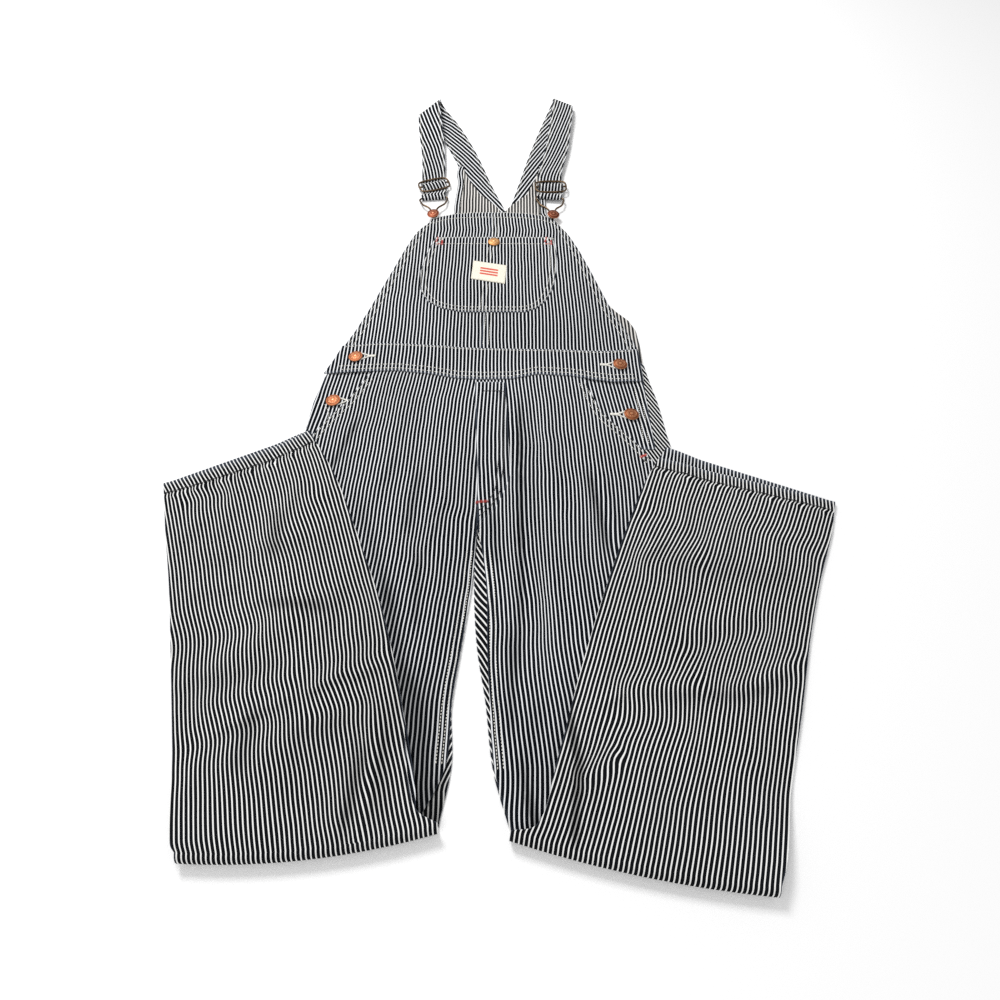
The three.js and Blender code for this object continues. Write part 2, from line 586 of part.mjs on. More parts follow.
// A body turned about its own axis from a profile of radius and height that starts and ends on the axis.
function turned(profile, sides) {
  const rings = profile.slice(1, -1);
  const points = [new THREE.Vector3(0, 0, profile[0][1])];
  for (const [r, z] of rings) {
    for (let k = 0; k < sides; k++) {
      const angle = (2 * Math.PI * k) / sides;
      points.push(new THREE.Vector3(r * Math.cos(angle), r * Math.sin(angle), z));
    }
  }
  points.push(new THREE.Vector3(0, 0, profile[profile.length - 1][1]));
  const at = (ring, k) => 1 + ring * sides + (k % sides);
  const top = points.length - 1;
  const index = [];
  for (let k = 0; k < sides; k++) {
    index.push(0, at(0, k + 1), at(0, k));
    for (let ring = 0; ring + 1 < rings.length; ring++) {
      index.push(at(ring, k), at(ring, k + 1), at(ring + 1, k + 1), at(ring, k), at(ring + 1, k + 1), at(ring + 1, k));
    }
    index.push(at(rings.length - 1, k), at(rings.length - 1, k + 1), top);
  }
  const geometry = new THREE.BufferGeometry().setFromPoints(points);
  geometry.setIndex(index);
  geometry.computeVertexNormals();
  return geometry;
}

// A button with its cap held up by a shank, square to the surface below it.
function button(x, y, seat, shank, cap) {
  const profile = [
    [0, 0], [SHANK_RADIUS, 0], [SHANK_RADIUS, shank], [cap - 0.8, shank], [cap, shank + 0.7],
    [cap - 0.5, shank + 1.5], [cap - 2, shank + 2], [cap * 0.45, shank + 2.5], [0, shank + 2.7],
  ];
  const geometry = turned(profile, 16);
  const step = SHANK_RADIUS;
  const slopeX = (seat(x + step, y) - seat(x - step, y)) / (2 * step);
  const slopeY = (seat(x, y + step) - seat(x, y - step)) / (2 * step);
  const normal = new THREE.Vector3(-slopeX, -slopeY, 1).normalize();
  geometry.applyQuaternion(new THREE.Quaternion().setFromUnitVectors(new THREE.Vector3(0, 0, 1), normal));
  const base = new THREE.Vector3(x, y, seat(x, y)).addScaledVector(normal, SEAM);
  return geometry.translate(base.x, base.y, base.z);
}

// Surfaces that pieces lie on, from the body outwards.
const bibTop = (x, y) => frontHeight(x, y) + WALL;
const bandUnder = (x, y) => frontHeight(x, y) + WALL + SEAM;
const flyUnder = (x, y) => bandUnder(x, y) + 0.5;
const bandTop = (x, y) => bandUnder(x, y) + BAND_WALL;
const facingUnder = (x, y) => WALL + SEAM + Math.max(0, frontRise(x, y) - WALL - SEAM);
const facingTop = (x, y) => facingUnder(x, y) + WALL;
const pocketTop = (x, y) => frontHeight(x, y) + 2 * WALL + SEAM;
const labelUnder = (x, y) => pocketTop(x, y) + SEAM;
const buttonSeat = (side) => bibTop(HARDWARE[side].buttonX, HARDWARE[side].buttonY);

// A patch that lies on a surface: rows of left and right edges at falling heights y.
const patch = (rows, across, under, thick) => flatPanel(rows, spread(across, 0.04), under, () => thick);

const group = new THREE.Group();
function add(name, geometry, color) {
  const mesh = new THREE.Mesh(geometry, new THREE.MeshStandardMaterial({ color }));
  mesh.name = name;
  group.add(mesh);
}

for (const [side, leg] of Object.entries(LEGS)) {
  add('leg_back_' + side, legPanel(leg, true), DENIM);
  add('leg_front_' + side, legPanel(leg, false), DENIM);
}

const backUnder = (x, y) => strapLift(y);
const backEdge = (name) => (y) => column(BACK, name, y);
add('back_upper_left', patch(levelRows(428, WAIST_JOIN, 18, backEdge('left'), backEdge('leftIn')), 5, backUnder, WALL), INSIDE);
add('back_upper_right', patch(levelRows(428, WAIST_JOIN, 18, backEdge('rightIn'), backEdge('right')), 5, backUnder, WALL), INSIDE);

// The bib's outer corners sit lower than its middle.
const tip = (rows, corner) =>
  rows.map((row, k) => ({ ...row, [corner]: row[corner] - 14 * (1 - smooth(k / 4)) }));
const bodyEdge = (name) => (y) => column(BODY, name, y);
const seamLeft = (y) => column(BODY, 'centre', y) - SEAM / 2;
const seamRight = (y) => column(BODY, 'centre', y) + SEAM / 2;
add('bib_left', patch(tip(levelRows(BIB_TOP, WAIST_JOIN, 20, bodyEdge('left'), seamLeft), 'ya'), 10, frontHeight, WALL), DENIM);
add('bib_right', patch(tip(levelRows(BIB_TOP, WAIST_JOIN, 20, seamRight, bodyEdge('right')), 'yb'), 10, frontHeight, WALL), DENIM);

const facing = (high, low, inner, outer) => levelRows(high, low, 8, inner, outer);
const underFront = (side, lap) => (y) => column(LEGS[side].thigh, 'fo', y) - LEGS[side].side * lap;
add('hip_facing_left', patch(facing(WAIST_JOIN, -142, (y) => column(BODY, 'left', y) + 0.5, underFront('left', 12)), 4, facingUnder, WALL), DENIM);
add('hip_facing_right', patch(facing(WAIST_JOIN, -166, underFront('right', 12), (y) => column(BODY, 'right', y) - 0.5), 4, facingUnder, WALL), DENIM);

// The waistband's edges rise and sag from side to side.
function bandEdge(name, x) {
  const after = Math.max(BAND.findIndex((row) => row.x >= x), 1);
  const [p, q] = [BAND[after - 1], BAND[after]];
  return mix(p[name], q[name], clamp((x - p.x) / (q.x - p.x), 0, 1));
}
function bandPoints() {
  const across = spread(28, 0.008);
  const lower = [0, 0.25, 0.5, 0.75, 1].map((share) =>
    across.map((s) => {
      const level = mix(7, -50, share);
      const x = mix(column(BODY, 'left', level), column(BODY, 'right', level), s);
      const y = mix(bandEdge('high', x), bandEdge('low', x), share);
      return new THREE.Vector3(x, y, bandUnder(x, y));
    }),
  );
  return [lower.map((line) => line.map((p) => new THREE.Vector3(p.x, p.y, p.z + BAND_WALL))), lower];
}
add('waistband', wall(...bandPoints()), DENIM);

add('fly', patch(levelRows(FLY.top - 4, FLY.low, 12, (y) => column(BODY, 'centre', y) + 0.4, (y) => column(BODY, 'centre', y) + FLY.wide * Math.sqrt(clamp((y - FLY.low) / FLY.curve, 0.02, 1))), 6, flyUnder, WALL), DENIM);

const pocketEdge = (name) => (y) => column(POCKET, name, y);
add('bib_pocket', patch(levelRows(240, 72, 13, pocketEdge('left'), pocketEdge('right')), 12, bandUnder, WALL), DENIM);

const labelRows = [1, 0, -1].map((k) => {
  const [ax, ay] = turnedBy(LABEL.width / 2, 0, LABEL.turn);
  const [bx, by] = turnedBy(0, (k * LABEL.height) / 2, LABEL.lean);
  return { xa: LABEL.x - ax + bx, ya: LABEL.y - ay + by, xb: LABEL.x + ax + bx, yb: LABEL.y + ay + by };
});
add('label', patch(labelRows, 4, labelUnder, 1), 0xe6dcc4);

for (const side of ['left', 'right']) {
  add('strap_' + side, ribbon(strapRows(side), WALL), DENIM);
  add('slide_' + side, slide(side), STEEL);
  add('buckle_' + side, buckle(side), STEEL);
  const { buttonX, buttonY } = HARDWARE[side];
  add('bib_button_' + side, button(buttonX, buttonY, bibTop, 2 * WIRE + 4 * SEAM, CAP_RADIUS), COPPER);
}
for (const [name, at] of Object.entries(BUTTONS)) {
  add(name, button(at.x, at.y, name.startsWith('waist') ? bandTop : facingTop, 1.4, CAP_RADIUS), COPPER);
}
add('pocket_snap', button(SNAP.x, SNAP.y, pocketTop, 0.6, SNAP_RADIUS), COPPER);

// The group is moved so that the middle of its outline is the origin.
const box = new THREE.Box3().setFromObject(group);
group.position.set(-(box.min.x + box.max.x) / 2, -(box.min.y + box.max.y) / 2, -box.min.z);

export default group;
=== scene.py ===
# Bib dungarees in striped denim, laid on their back with the legs folded up at the knee.
# The tables and the surfaces are those of the part, in millimetres in its own drawing frame.
# SHIFT moves them to the row frame. Left and right are the viewer's.
import math

import bpy
import numpy as np
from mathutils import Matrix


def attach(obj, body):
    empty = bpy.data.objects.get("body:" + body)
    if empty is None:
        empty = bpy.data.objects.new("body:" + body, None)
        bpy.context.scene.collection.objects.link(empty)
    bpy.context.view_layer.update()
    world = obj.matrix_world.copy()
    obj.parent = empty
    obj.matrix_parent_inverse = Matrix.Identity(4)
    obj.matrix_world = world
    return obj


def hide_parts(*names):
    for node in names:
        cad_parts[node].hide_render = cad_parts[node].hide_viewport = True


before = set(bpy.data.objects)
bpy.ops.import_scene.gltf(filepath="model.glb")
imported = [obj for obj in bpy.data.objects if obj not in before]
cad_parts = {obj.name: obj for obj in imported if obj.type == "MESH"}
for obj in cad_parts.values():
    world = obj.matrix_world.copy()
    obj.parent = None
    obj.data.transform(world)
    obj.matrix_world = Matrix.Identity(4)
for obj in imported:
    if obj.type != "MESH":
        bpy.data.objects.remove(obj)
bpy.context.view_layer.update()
scene = bpy.context.scene

# Driving sizes, as in the part
SHIFT = np.array([-1.0, 4.3796, 0.0])
WALL = 1.2
BAND_WALL = 2.0
SEAM = 0.3
LAY = 0.9
HEM_RISE = 0.9
HEM_WIDTH = 21
STRAP_WIDTH = 38
FOLD_RADIUS = 7.2
FOLD_REACH = 95
RAMP = 34
WAIST_JOIN = -20
BIB_TOP = 304
CROTCH = -278
WIRE = 1.4
CAP_RADIUS = 9.4
SHANK_RADIUS = 3.2
SNAP_RADIUS = 9.0
BACK_TOP = 428
FACING_LAP = 12
SHIN_DOME = 3.5
SLIDE_LIFT = 4
BEND = WIRE + SEAM + WALL / 2     # from the middle of a wire to the middle of the strap round it

# Sizes that only the looks have: the cloth's pattern, as distances from one to the next
PITCH = 4.8     # white stripes
RIB_PITCH = 1.15
YARN_PITCH = 0.48
PICK_PITCH = 0.62
TAPE_PITCH = 0.42
STRIPE_EDGE = 0.045     # softness of a stripe's edge, as a share of the pitch
# Painted shade on the cloth: the brightness left in the darkest painted shade, and the trough depth that gets
# it.
PAINTED_SHADE_BRIGHTNESS = 0.4     # how bright the dimmest cloth is left
PAINTED_SHADE_DEPTH = 2.6     # depth at which a trough is at its dimmest
HEM_LONG = 200     # length that the hem's gathers are spread over
HEM_STEP = 0.003     # share of the shin in which the hem's layer steps up
THIGH_ROWS = 120
FOLD_ROWS = 15
SLIP_ROWS = 44     # rows above the knee's fold from where a stripe of the shin is straight
SETTLE_ROWS = 8     # last rows of the thigh that settle to the knee's stripes
SPREAD_BELOW = -560     # height above which the back panel's stripes spread on the thigh
KEY_LONG = 9.5     # half the length of a keyhole
KEY_THICK = 0.62
TACK_LEAN = 0.35
UP = [0, 0, 1.0]
# A cap's outline: in from the edge and up, then share of the radius and up
CAP_RIM = [
    (1.0, 0), (0.4, 0.1), (0.08, 0.4), (0, 0.8), (0.15, 1.2), (0.5, 1.5), (1.0, 1.66), (1.4, 1.62),
    (1.8, 1.72), (2.6, 1.98),
]
CAP_CROWN = [(0.6, 2.24), (0.45, 2.4), (0.28, 2.56), (0.12, 2.66)]
CAP_HIGH = 2.7
# A stitch's rings: share along it, width and rise
STITCH = [(0, 0.4, -0.5), (0.18, 0.9, 0.1), (0.5, 1.0, 0.3), (0.82, 0.9, 0.1), (1, 0.4, -0.5)]


def table(names, *rows):
    """A short table: its columns by name."""
    columns = zip(*rows)
    return {name: np.array(column, float) for name, column in zip(names.split(), columns)}


BODY = table(
    "y left right centre dome",
    (300, -101, 89, -8, 3),
    (265, -121, 105, -8, 3.5),
    (217, -138, 123, -8, 4),
    (170, -152, 137, -10, 4.5),
    (126, -165.5, 149, -13, 5),
    (83, -178.5, 161, -15, 5),
    (43, -192, 177, -18, 5),
    (8, -206, 189, -20, 5.5),
    (-20, -214, 190, -24, 6),
    (-48, -224, 191, -27, 6),
    (-90, -232, 192, -26, 6),
    (-142, -235.5, 193, -24, 6),
    (-190, -237, 194, -22, 6),
    (-240, -239, 213, -21, 6),
    (-278, -242, 216, -20.5, 6),
    (-660, -276, 242, -20, 6),
)

BACK = table(
    "y left leftIn rightIn right",
    (424, -60.5, -54, 70, 75),
    (392, -62, -43, 60, 76),
    (357, -65, -26, 48, 77),
    (325, -67, 0, 20, 77),
    (306, -67, 9.8, 10.2, 77),
    (250, -96, 7.8, 8.2, 98),
    (170, -134, 3.8, 4.2, 126),
    (104, -163, -0.7, -0.3, 153),
    (83, -172, -2.2, -1.8, 166),
    (63, -181, -3.7, -3.3, 183),
    (43, -190, -5.2, -4.8, 191),
    (14, -203, -7.2, -6.8, 193.5),
    (-20, -213, -9.2, -8.8, 194.5),
)

LEFT_THIGH = table(
    "y fi fo bi bo drop",
    (-20.3, -24, -150, -9.2, -213, 0),
    (-48, -27, -166, -12, -223, 0),
    (-90, -26, -188, -14, -231.5, 0),
    (-118, -25, -208, -15, -234, 0),
    (-142, -24, -223, -16, -235.5, 0),
    (-165, -23, -236, -17, -236, 0),
    (-200, -22, -237.5, -18, -237.5, 0),
    (-240, -21, -239, -19, -239, 0),
    (-278, -21, -242, -20, -242, 3),
    (-320, -23, -245, -22, -245, 6),
    (-360, -26, -248, -26, -248, 9),
    (-420, -34, -254, -34, -254, 12),
    (-480, -42, -260, -42, -260, 16),
    (-540, -46, -266, -40, -266, 20),
)
RIGHT_THIGH = table(
    "y fi fo bi bo drop",
    (-20.3, -23.7, 108, -8.9, 194.5, 0),
    (-48, -26.7, 112, -11.7, 198, 0),
    (-90, -25.7, 124, -13.7, 205, 0),
    (-118, -24.7, 136, -14.7, 208, 0),
    (-142, -23.7, 157, -15.7, 210, 0),
    (-165, -22.7, 175, -16.7, 213, 0),
    (-188, -21.7, 190, -17.7, 214, 0),
    (-215, -21.2, 209, -18.2, 215, 0),
    (-245, -20.7, 215.5, -18.7, 215.5, 0),
    (-278, -20, 216, -19.7, 216, 6),
    (-320, -13, 219, -22.4, 219, 8),
    (-365, -9, 222, -22.5, 222, 10),
    (-425, -8, 226, -18.3, 226, 15),
    (-480, -5, 230, -9.3, 230, 20),
    (-545, 0, 234, -1.5, 234, 25),
)
LEFT_SHIN = table(
    "xi yi xo yo",
    (-70, -580, -279, -610),
    (-90, -481, -303, -522),
    (-117, -385, -327, -432),
    (-150, -300, -349, -352),
    (-188, -211, -371, -281),
    (-230, -139, -389, -217),
)
RIGHT_SHIN = table(
    "xi yi xo yo",
    (37, -594, 249, -625),
    (60, -530, 272, -556),
    (83, -456, 297, -488),
    (112, -372, 323, -412),
    (143, -292, 350, -344),
    (176, -216, 376, -287),
    (206, -165, 391, -243),
)
LEGS = {
    "left": {
        "side": -1,
        "thigh": LEFT_THIGH,
        "shin": LEFT_SHIN,
        "knee": {"xi": -49, "yi": -600, "xo": -273, "yo": -624, "xf": -74, "bulge": 9},
        "short": {"inner": 2, "middle": 9, "outer": 1},
        "hold": 0.62,
        "close": (1.06, 1.14),
    },
    "right": {
        "side": 1,
        "thigh": RIGHT_THIGH,
        "shin": RIGHT_SHIN,
        "knee": {"xi": 13, "yi": -606, "xo": 239, "yo": -650, "xf": 15, "bulge": 6},
        "short": {"inner": 24, "middle": 17, "outer": 2},
        "hold": 0.5,
        "close": (1.06, 1.11),
    },
}

# The part's folds: two ends, half-width across and height.
BODY_FOLDS = [
    (26, -60, 20, -420, 14, 4),
    (62, -70, 64, -230, 14, 2),
    (-66, -62, -78, -300, 16, 2),
    (112, -150, 122, -290, 16, 2.5),
    (-150, 70, -168, -20, 18, 2),
    (22, -400, 36, -560, 16, 2.5),
]
SHIN_FOLDS = {
    "left": [
        (-300, -470, -130, -330, 18, 4.5),
        (-290, -350, -180, -270, 16, 3),
        (-240, -560, -110, -470, 18, 3.5),
    ],
    "right": [
        (64, -585, 74, -470, 11, 4.5),
        (130, -430, 290, -380, 18, 4),
        (200, -300, 330, -350, 16, 3),
    ],
}

# The finer creases of the same kind, which only the looks have.
BODY_CREASES = [
    (31, -66, 28, -370, 3.5, -2.4),
    (-36, -524, -76, -592, 3.2, 2.6),
    (18, -520, 34, -604, 4, 2.0),
    (28, -560, 46, -610, 4, -1.6),
    (36, -62, 38, -300, 6, 1.8),
    (30, -330, 22, -470, 4, -1.6),
    (12, -80, 12, -240, 5, 1.0),
    (-52, -225, -84, -330, 3, 1.7),
    (-84, -300, -80, -420, 4, -1.3),
    (-92, -60, -112, -210, 7, 1.2),
    (-120, -160, -152, -270, 8, 1.5),
    (-86, -190, -100, -300, 6, -1.3),
    (-172, -150, -205, -260, 9, 1.5),
    (-166, -112, -204, -226, 3.6, -1.9),
    (-55, -222, -79, -284, 2.4, 1.2),
    (-196, -330, -150, -250, 7, 1.2),
    (-40, -120, -36, -250, 8, 1.0),
    (60, -100, 70, -250, 7, 1.2),
    (108, -190, 128, -330, 4, -1.8),
    (120, -180, 142, -350, 6, 1.9),
    (88, -250, 92, -400, 7, 1.3),
    (156, -230, 176, -330, 6, 1.5),
    (60, -300, 66, -480, 8, 1.5),
    (126, -306, 152, -309, 4, 1.4),
    (-130, -340, -156, -500, 10, 1.5),
    (-190, -420, -215, -560, 10, 1.6),
    (-60, -300, -66, -440, 8, 1.2),
    (-52, -520, -84, -420, 6, 1.5),
    (10, -380, 18, -520, 5, 1.6),
    (-4, -250, 4, -340, 5, -1.2),
    (96, -6, 120, -66, 3, 1.1),
    (120, -66, 142, -150, 4, 1.2),
    (-130, 210, -122, 60, 9, 1.3),
    (-60, 52, -70, -10, 6, 1.1),
    (60, 60, 66, -12, 7, 1.1),
    (118, 170, 124, 40, 9, 1.3),
    (-40, 60, 40, 52, 6, 0.9),
    (-112, 288, -104, 240, 7, 1.0),
    (92, 285, 86, 238, 6, 1.0),
    (-20, 300, -14, 250, 5, 0.8),
    (32, 290, 26, 248, 5, 0.9),
    (-158, -64, -104, -80, 7, 1.0),
    (70, -66, 118, -80, 6, 1.0),
]
SHIN_CREASES = {
    "left": [
        (-276, -518, -184, -476, 5, 2.0),
        (-190, -480, -138, -452, 5, 2.4),
        (-146, -462, -106, -446, 4, 2.6),
        (-108, -446, -92, -500, 4, 2.2),
        (-104, -500, -116, -606, 4, 2.6),
        (-118, -520, -132, -606, 5, -1.6),
        (-340, -362, -262, -354, 9, 1.5),
        (-256, -352, -246, -384, 6, 1.8),
        (-246, -378, -160, -388, 7, -1.6),
        (-248, -300, -226, -212, 7, 2.0),
        (-238, -330, -248, -250, 8, -1.3),
        (-360, -310, -330, -262, 9, 1.6),
        (-310, -300, -300, -240, 8, 1.2),
        (-200, -330, -176, -250, 8, 1.7),
        (-182, -430, -160, -352, 8, 1.5),
        (-330, -470, -262, -440, 9, 1.4),
        (-285, -590, -262, -500, 9, 1.4),
        (-196, -590, -186, -500, 8, 1.3),
        (-234, -560, -226, -480, 9, -1.2),
    ],
    "right": [
        (300, -444, 240, -474, 6, 2.3),
        (246, -474, 196, -472, 6, 1.8),
        (202, -472, 126, -474, 7, 1.6),
        (128, -474, 96, -490, 5, 2.0),
        (66, -470, 78, -545, 3.5, -3.0),
        (79, -530, 68, -616, 3.5, -3.4),
        (88, -540, 82, -612, 5, 2.2),
        (60, -520, 50, -600, 6, 1.8),
        (150, -330, 190, -300, 6, 1.9),
        (196, -360, 158, -420, 7, 1.8),
        (216, -230, 208, -300, 7, 1.6),
        (262, -260, 246, -330, 8, 1.5),
        (310, -282, 300, -350, 8, 1.4),
        (340, -312, 334, -380, 6, 1.6),
        (120, -420, 100, -470, 6, 1.5),
        (290, -520, 256, -440, 8, 1.4),
        (240, -600, 226, -520, 9, 1.3),
        (186, -600, 176, -510, 9, 1.4),
        (140, -600, 134, -520, 8, 1.2),
    ],
}

# Painted shade and painted shadow, where the cloth lies in its own shade or in that of a piece beside it: two
# ends, half-width and how dim.
BODY_PAINTED_SHADE_LINES = [
    (30, -68, 28, -380, 2.6, 0.5),
    (-50, -680, -88, -430, 16, 1.2),
    (-34, -530, -58, -650, 11, 0.6),
    (-78, -510, -124, -330, 9, 0.8),
    (-100, -400, -168, -220, 8, 0.35),
    (15, -390, 15, -530, 4.5, 0.6),
    (40, -590, 92, -420, 7, 0.35),
    (24, -530, 42, -640, 6, 0.6),
    (24, -560, 44, -470, 9, 0.3),
    (12, -60, 10, -250, 5, 0.22),
    (104, -190, 122, -330, 5, 0.3),
    (-100, -60, -132, -250, 8, 0.2),
    (-60, 72, 40, 70, 3, 0.3),
]
SHIN_PAINTED_SHADE_LINES = {
    "left": [
        (-104, -470, -100, -610, 9, 0.35),
        (-290, -470, -200, -440, 9, 0.22),
        (-330, -330, -180, -300, 12, 0.2),
        (-200, -520, -130, -500, 10, 0.25),
        (-126, -490, -134, -630, 4, 0.3),
    ],
    "right": [
        (68, -462, 80, -580, 3.2, 0.5),
        (82, -520, 66, -650, 3.2, 0.5),
        (290, -470, 150, -484, 8, 0.25),
        (330, -350, 160, -330, 12, 0.2),
    ],
}

# How far the stripes swing sideways where the cloth is pulled: ends, half-width and shift.
BODY_SWAYS = [
    (10, -150, 60, -150, 40, -2.0),
    (-200, -230, -60, -250, 38, 1.6),
    (60, -240, 190, -215, 34, -2.0),
    (-90, -330, -40, -250, 22, 2.4),
    (-20, -460, 120, -440, 42, 2.0),
    (-230, -120, -120, -100, 26, -1.4),
    (108, -190, 130, -330, 12, 2.2),
    (60, -330, 210, -330, 30, 1.4),
    (18, -90, 26, -420, 9, 1.8),
    (-120, 120, 0, 140, 44, 1.2),
    (20, 60, 150, 70, 44, -1.3),
    (-70, 296, 70, 296, 7, 1.2),
    (-130, 262, 110, 256, 12, -1.4),
    (-24, -380, 62, -380, 66, -6),
]
FLY_SWAYS = [
    (-60, -60, 60, -60, 60, -3.5),
    (-60, -330, 60, -330, 100, -8),
]
SHIN_SWAYS = {
    "left": [
        (-372, -430, -214, -398, 22, -4.0),
        (-214, -396, -110, -380, 26, -2.6),
        (-256, -318, -200, -224, 22, 3.6),
        (-366, -250, -300, -232, 12, -3.0),
        (-300, -494, -180, -452, 14, 2.8),
        (-190, -478, -96, -424, 12, 3.4),
        (-300, -530, -190, -500, 14, -3.2),
        (-182, -506, -110, -480, 12, -3.0),
        (-150, -610, -96, -500, 14, 2.0),
        (-114, -480, -122, -640, 7, 1.5),
    ],
    "right": [
        (160, -250, 240, -300, 22, -3.0),
        (250, -270, 380, -330, 18, 2.6),
        (140, -330, 236, -330, 20, 4.2),
        (300, -396, 170, -440, 14, -4.2),
        (320, -430, 210, -480, 12, 4.2),
        (210, -466, 110, -470, 14, 4.2),
        (100, -500, 200, -510, 16, -3.4),
        (120, -530, 70, -560, 10, 4.2),
        (250, -540, 140, -590, 20, 2.0),
    ],
}

STRAP_COLUMNS = "xi yi zi xo yo zo"
STRAPS = {
    "left": table(
        STRAP_COLUMNS,
        (16, 308, 0.6, -20, 296, 0.6),
        (-6, 376, 0.6, -42, 366, 0.6),
        (-37, 484, 0.6, -73, 466, 0.6),
        (-68, 568, 0.6, -102, 540, 0.6),
        (-88, 610, 0.8, -121, 570, 0.8),
        (-98, 630, 3, -133, 587, 2),
        (-102, 637, 9, -138, 594, 5.4),
        (-103, 630, 15, -139, 586, 8.8),
        (-102, 604, 16.4, -138, 566, 10),
        (-96, 552, 12.4, -134, 522, 8.6),
        (-90, 490, 8, -127, 470, 6),
    ),
    "right": table(
        STRAP_COLUMNS,
        (18, 308, 0.6, 58, 296, 0.6),
        (33, 376, 0.6, 69, 365, 0.6),
        (56, 478, 0.6, 91, 468, 0.6),
        (75, 552, 0.6, 111, 541, 0.6),
        (91, 610, 0.8, 126, 594, 0.8),
        (98, 633, 2.8, 133, 615, 2),
        (101, 641, 8.6, 136, 622, 6.2),
        (101, 633, 14.4, 135, 614, 10.4),
        (99, 606, 15.6, 134, 594, 11.4),
        (91, 545, 12, 128, 540, 9.6),
        (82, 480, 8.6, 120, 478, 8.2),
    ),
}

SLIDE = {"width": 47, "height": 26, "round": 4}
BUCKLE = {"width": 44, "drop": 9, "shoulder": 17, "neck": 4.6, "eye": 5.4}
HARDWARE = {
    "left": {
        "slide": (-102, 381), "slide_turn": 0.34, "bar": (-101, 347), "bar_turn": 0.1,
        "button": (-98.5, 297), "rest": 0.9,
    },
    "right": {
        "slide": (87, 371), "slide_turn": 0.03, "bar": (84, 344), "bar_turn": -0.12,
        "button": (87.5, 295), "rest": 3.8,
    },
}
BUTTONS = {
    "waist_button_left": (-185, -16),
    "hip_button_left": (-206, -90),
    "waist_button_right": (162, -30),
    "hip_button_right": (169, -113),
}
POCKET = table(
    "y left right",
    (240, -93, 85.5),
    (202, -103.5, 89),
    (162, -110.5, 87),
    (121, -108.5, 80),
    (95, -97, 69),
    (80, -77, 56),
    (72, -48, 40),
)
BAND = table(
    "x high low",
    (-225, 10, -41),
    (-128, 9, -41),
    (-86, 5, -47),
    (-50, 1, -55),
    (-20, -1, -57),
    (20, -2, -56),
    (53, -3, -47.5),
    (96, -4, -50),
    (125, -5, -56),
    (150, -4, -59),
    (195, 4, -54),
)
LABEL = {"x": -11, "y": 156, "width": 50, "height": 41, "turn": -0.23, "lean": -0.07}
SNAP = (-4, 226)
FLY = {"top": -58, "low": -272, "wide": 39, "curve": 60, "thick": 0.9}
POCKET_ROW = [
    (-94, 237), (-103.5, 202), (-110.5, 162), (-108.5, 121), (-97, 95), (-77, 80), (-48, 73), (-5, 72),
    (40, 73), (56, 80), (69, 95), (80, 121), (87, 162), (89, 202), (86.5, 237),
]


# Surfaces, as in the part, with the finer creases added
def mix(a, b, t):
    return a + (b - a) * t


def smooth(t):
    k = np.clip(t, 0, 1)
    return k * k * (3 - 2 * k)


def bell(t):
    """1 in the middle, and less to both sides."""
    return np.exp(-(t**2))


def arch(u):
    """0 at both edges of a strip and nearly flat between them."""
    return 1 - (2 * np.clip(u, 0, 1) - 1) ** 4


def unit(vectors):
    return vectors / np.maximum(np.linalg.norm(vectors, axis=-1, keepdims=True), 1e-6)


def turned_by(x, y, angle):
    return x * math.cos(angle) - y * math.sin(angle), x * math.sin(angle) + y * math.cos(angle)


def stacked(*columns):
    """Arrays of x, y and z as one array of places."""
    return np.stack(np.broadcast_arrays(*columns), axis=-1)


def column(rows, name, y):
    return np.interp(-np.asarray(y, float), -rows["y"], rows[name])


def edge(rows, name, out=0.0):
    """One side of a table, as x for a height y."""
    return lambda y: column(rows, name, y) + out


def above(surface, lift):
    return lambda x, y: surface(x, y) + lift


def ridges(folds, x, y):
    """Height of a table's folds, which run out at their ends."""
    rise = np.zeros(np.broadcast(x, y).shape)
    for x0, y0, x1, y1, wide, high in folds:
        dx, dy = x1 - x0, y1 - y0
        long = math.hypot(dx, dy)
        along = ((x - x0) * dx + (y - y0) * dy) / long**2
        across = ((x - x0) * dy - (y - y0) * dx) / long
        fade = smooth(np.minimum(along, 1 - along) * 4)
        rise = rise + high * fade * bell(across / wide)
    return rise


def painted_shade_of(creases, shades, x, y):
    """Painted shade, from 0 to 1: darker in troughs, on the side of a ridge away from the light and along the
    painted shade lines.
    """
    low = [fold for fold in creases if fold[5] < 0]
    step = 1.5
    # Painted shade on the side of each ridge that faces away from the light at the upper left.
    away_from_light = ridges(creases, x - step, y + step) - ridges(creases, x + step, y - step)
    dim = np.clip(-ridges(low, x, y) / PAINTED_SHADE_DEPTH, 0, 1) + np.clip(away_from_light * 0.22, 0, 0.3)
    return np.clip(dim + ridges(shades, x, y), 0, 1)


def knee_of(leg):
    """Where the knee's fold lies, and which way is out of it."""
    knee = leg["knee"]
    run = np.array([knee["xo"] - knee["xi"], knee["yo"] - knee["yi"]], float)
    out = np.array([run[1], -run[0]]) / math.hypot(*run)
    if out[1] > 0:
        out = -out
    inner = np.array([knee["xi"], knee["yi"]]) - out * FOLD_RADIUS
    outer = np.array([knee["xo"], knee["yo"]]) - out * FOLD_RADIUS
    front = mix(inner, outer, (knee["xf"] - knee["xi"]) / run[0])
    return {"inner": inner, "outer": outer, "out": out, "front": front}


for each_side, each_leg in LEGS.items():
    each_leg["fold"] = knee_of(each_leg)
    each_leg["folds"] = SHIN_FOLDS[each_side]
    each_leg["creases"] = SHIN_CREASES[each_side]
    each_leg["shades"] = SHIN_PAINTED_SHADE_LINES[each_side]
    each_leg["sways"] = SHIN_SWAYS[each_side]


def calm(leg, x, y):
    """0 at the knee's fold and 1 well away from it."""
    fold = leg["fold"]
    away = (fold["inner"][0] - x) * fold["out"][0] + (fold["inner"][1] - y) * fold["out"][1]
    return smooth(away / FOLD_REACH)


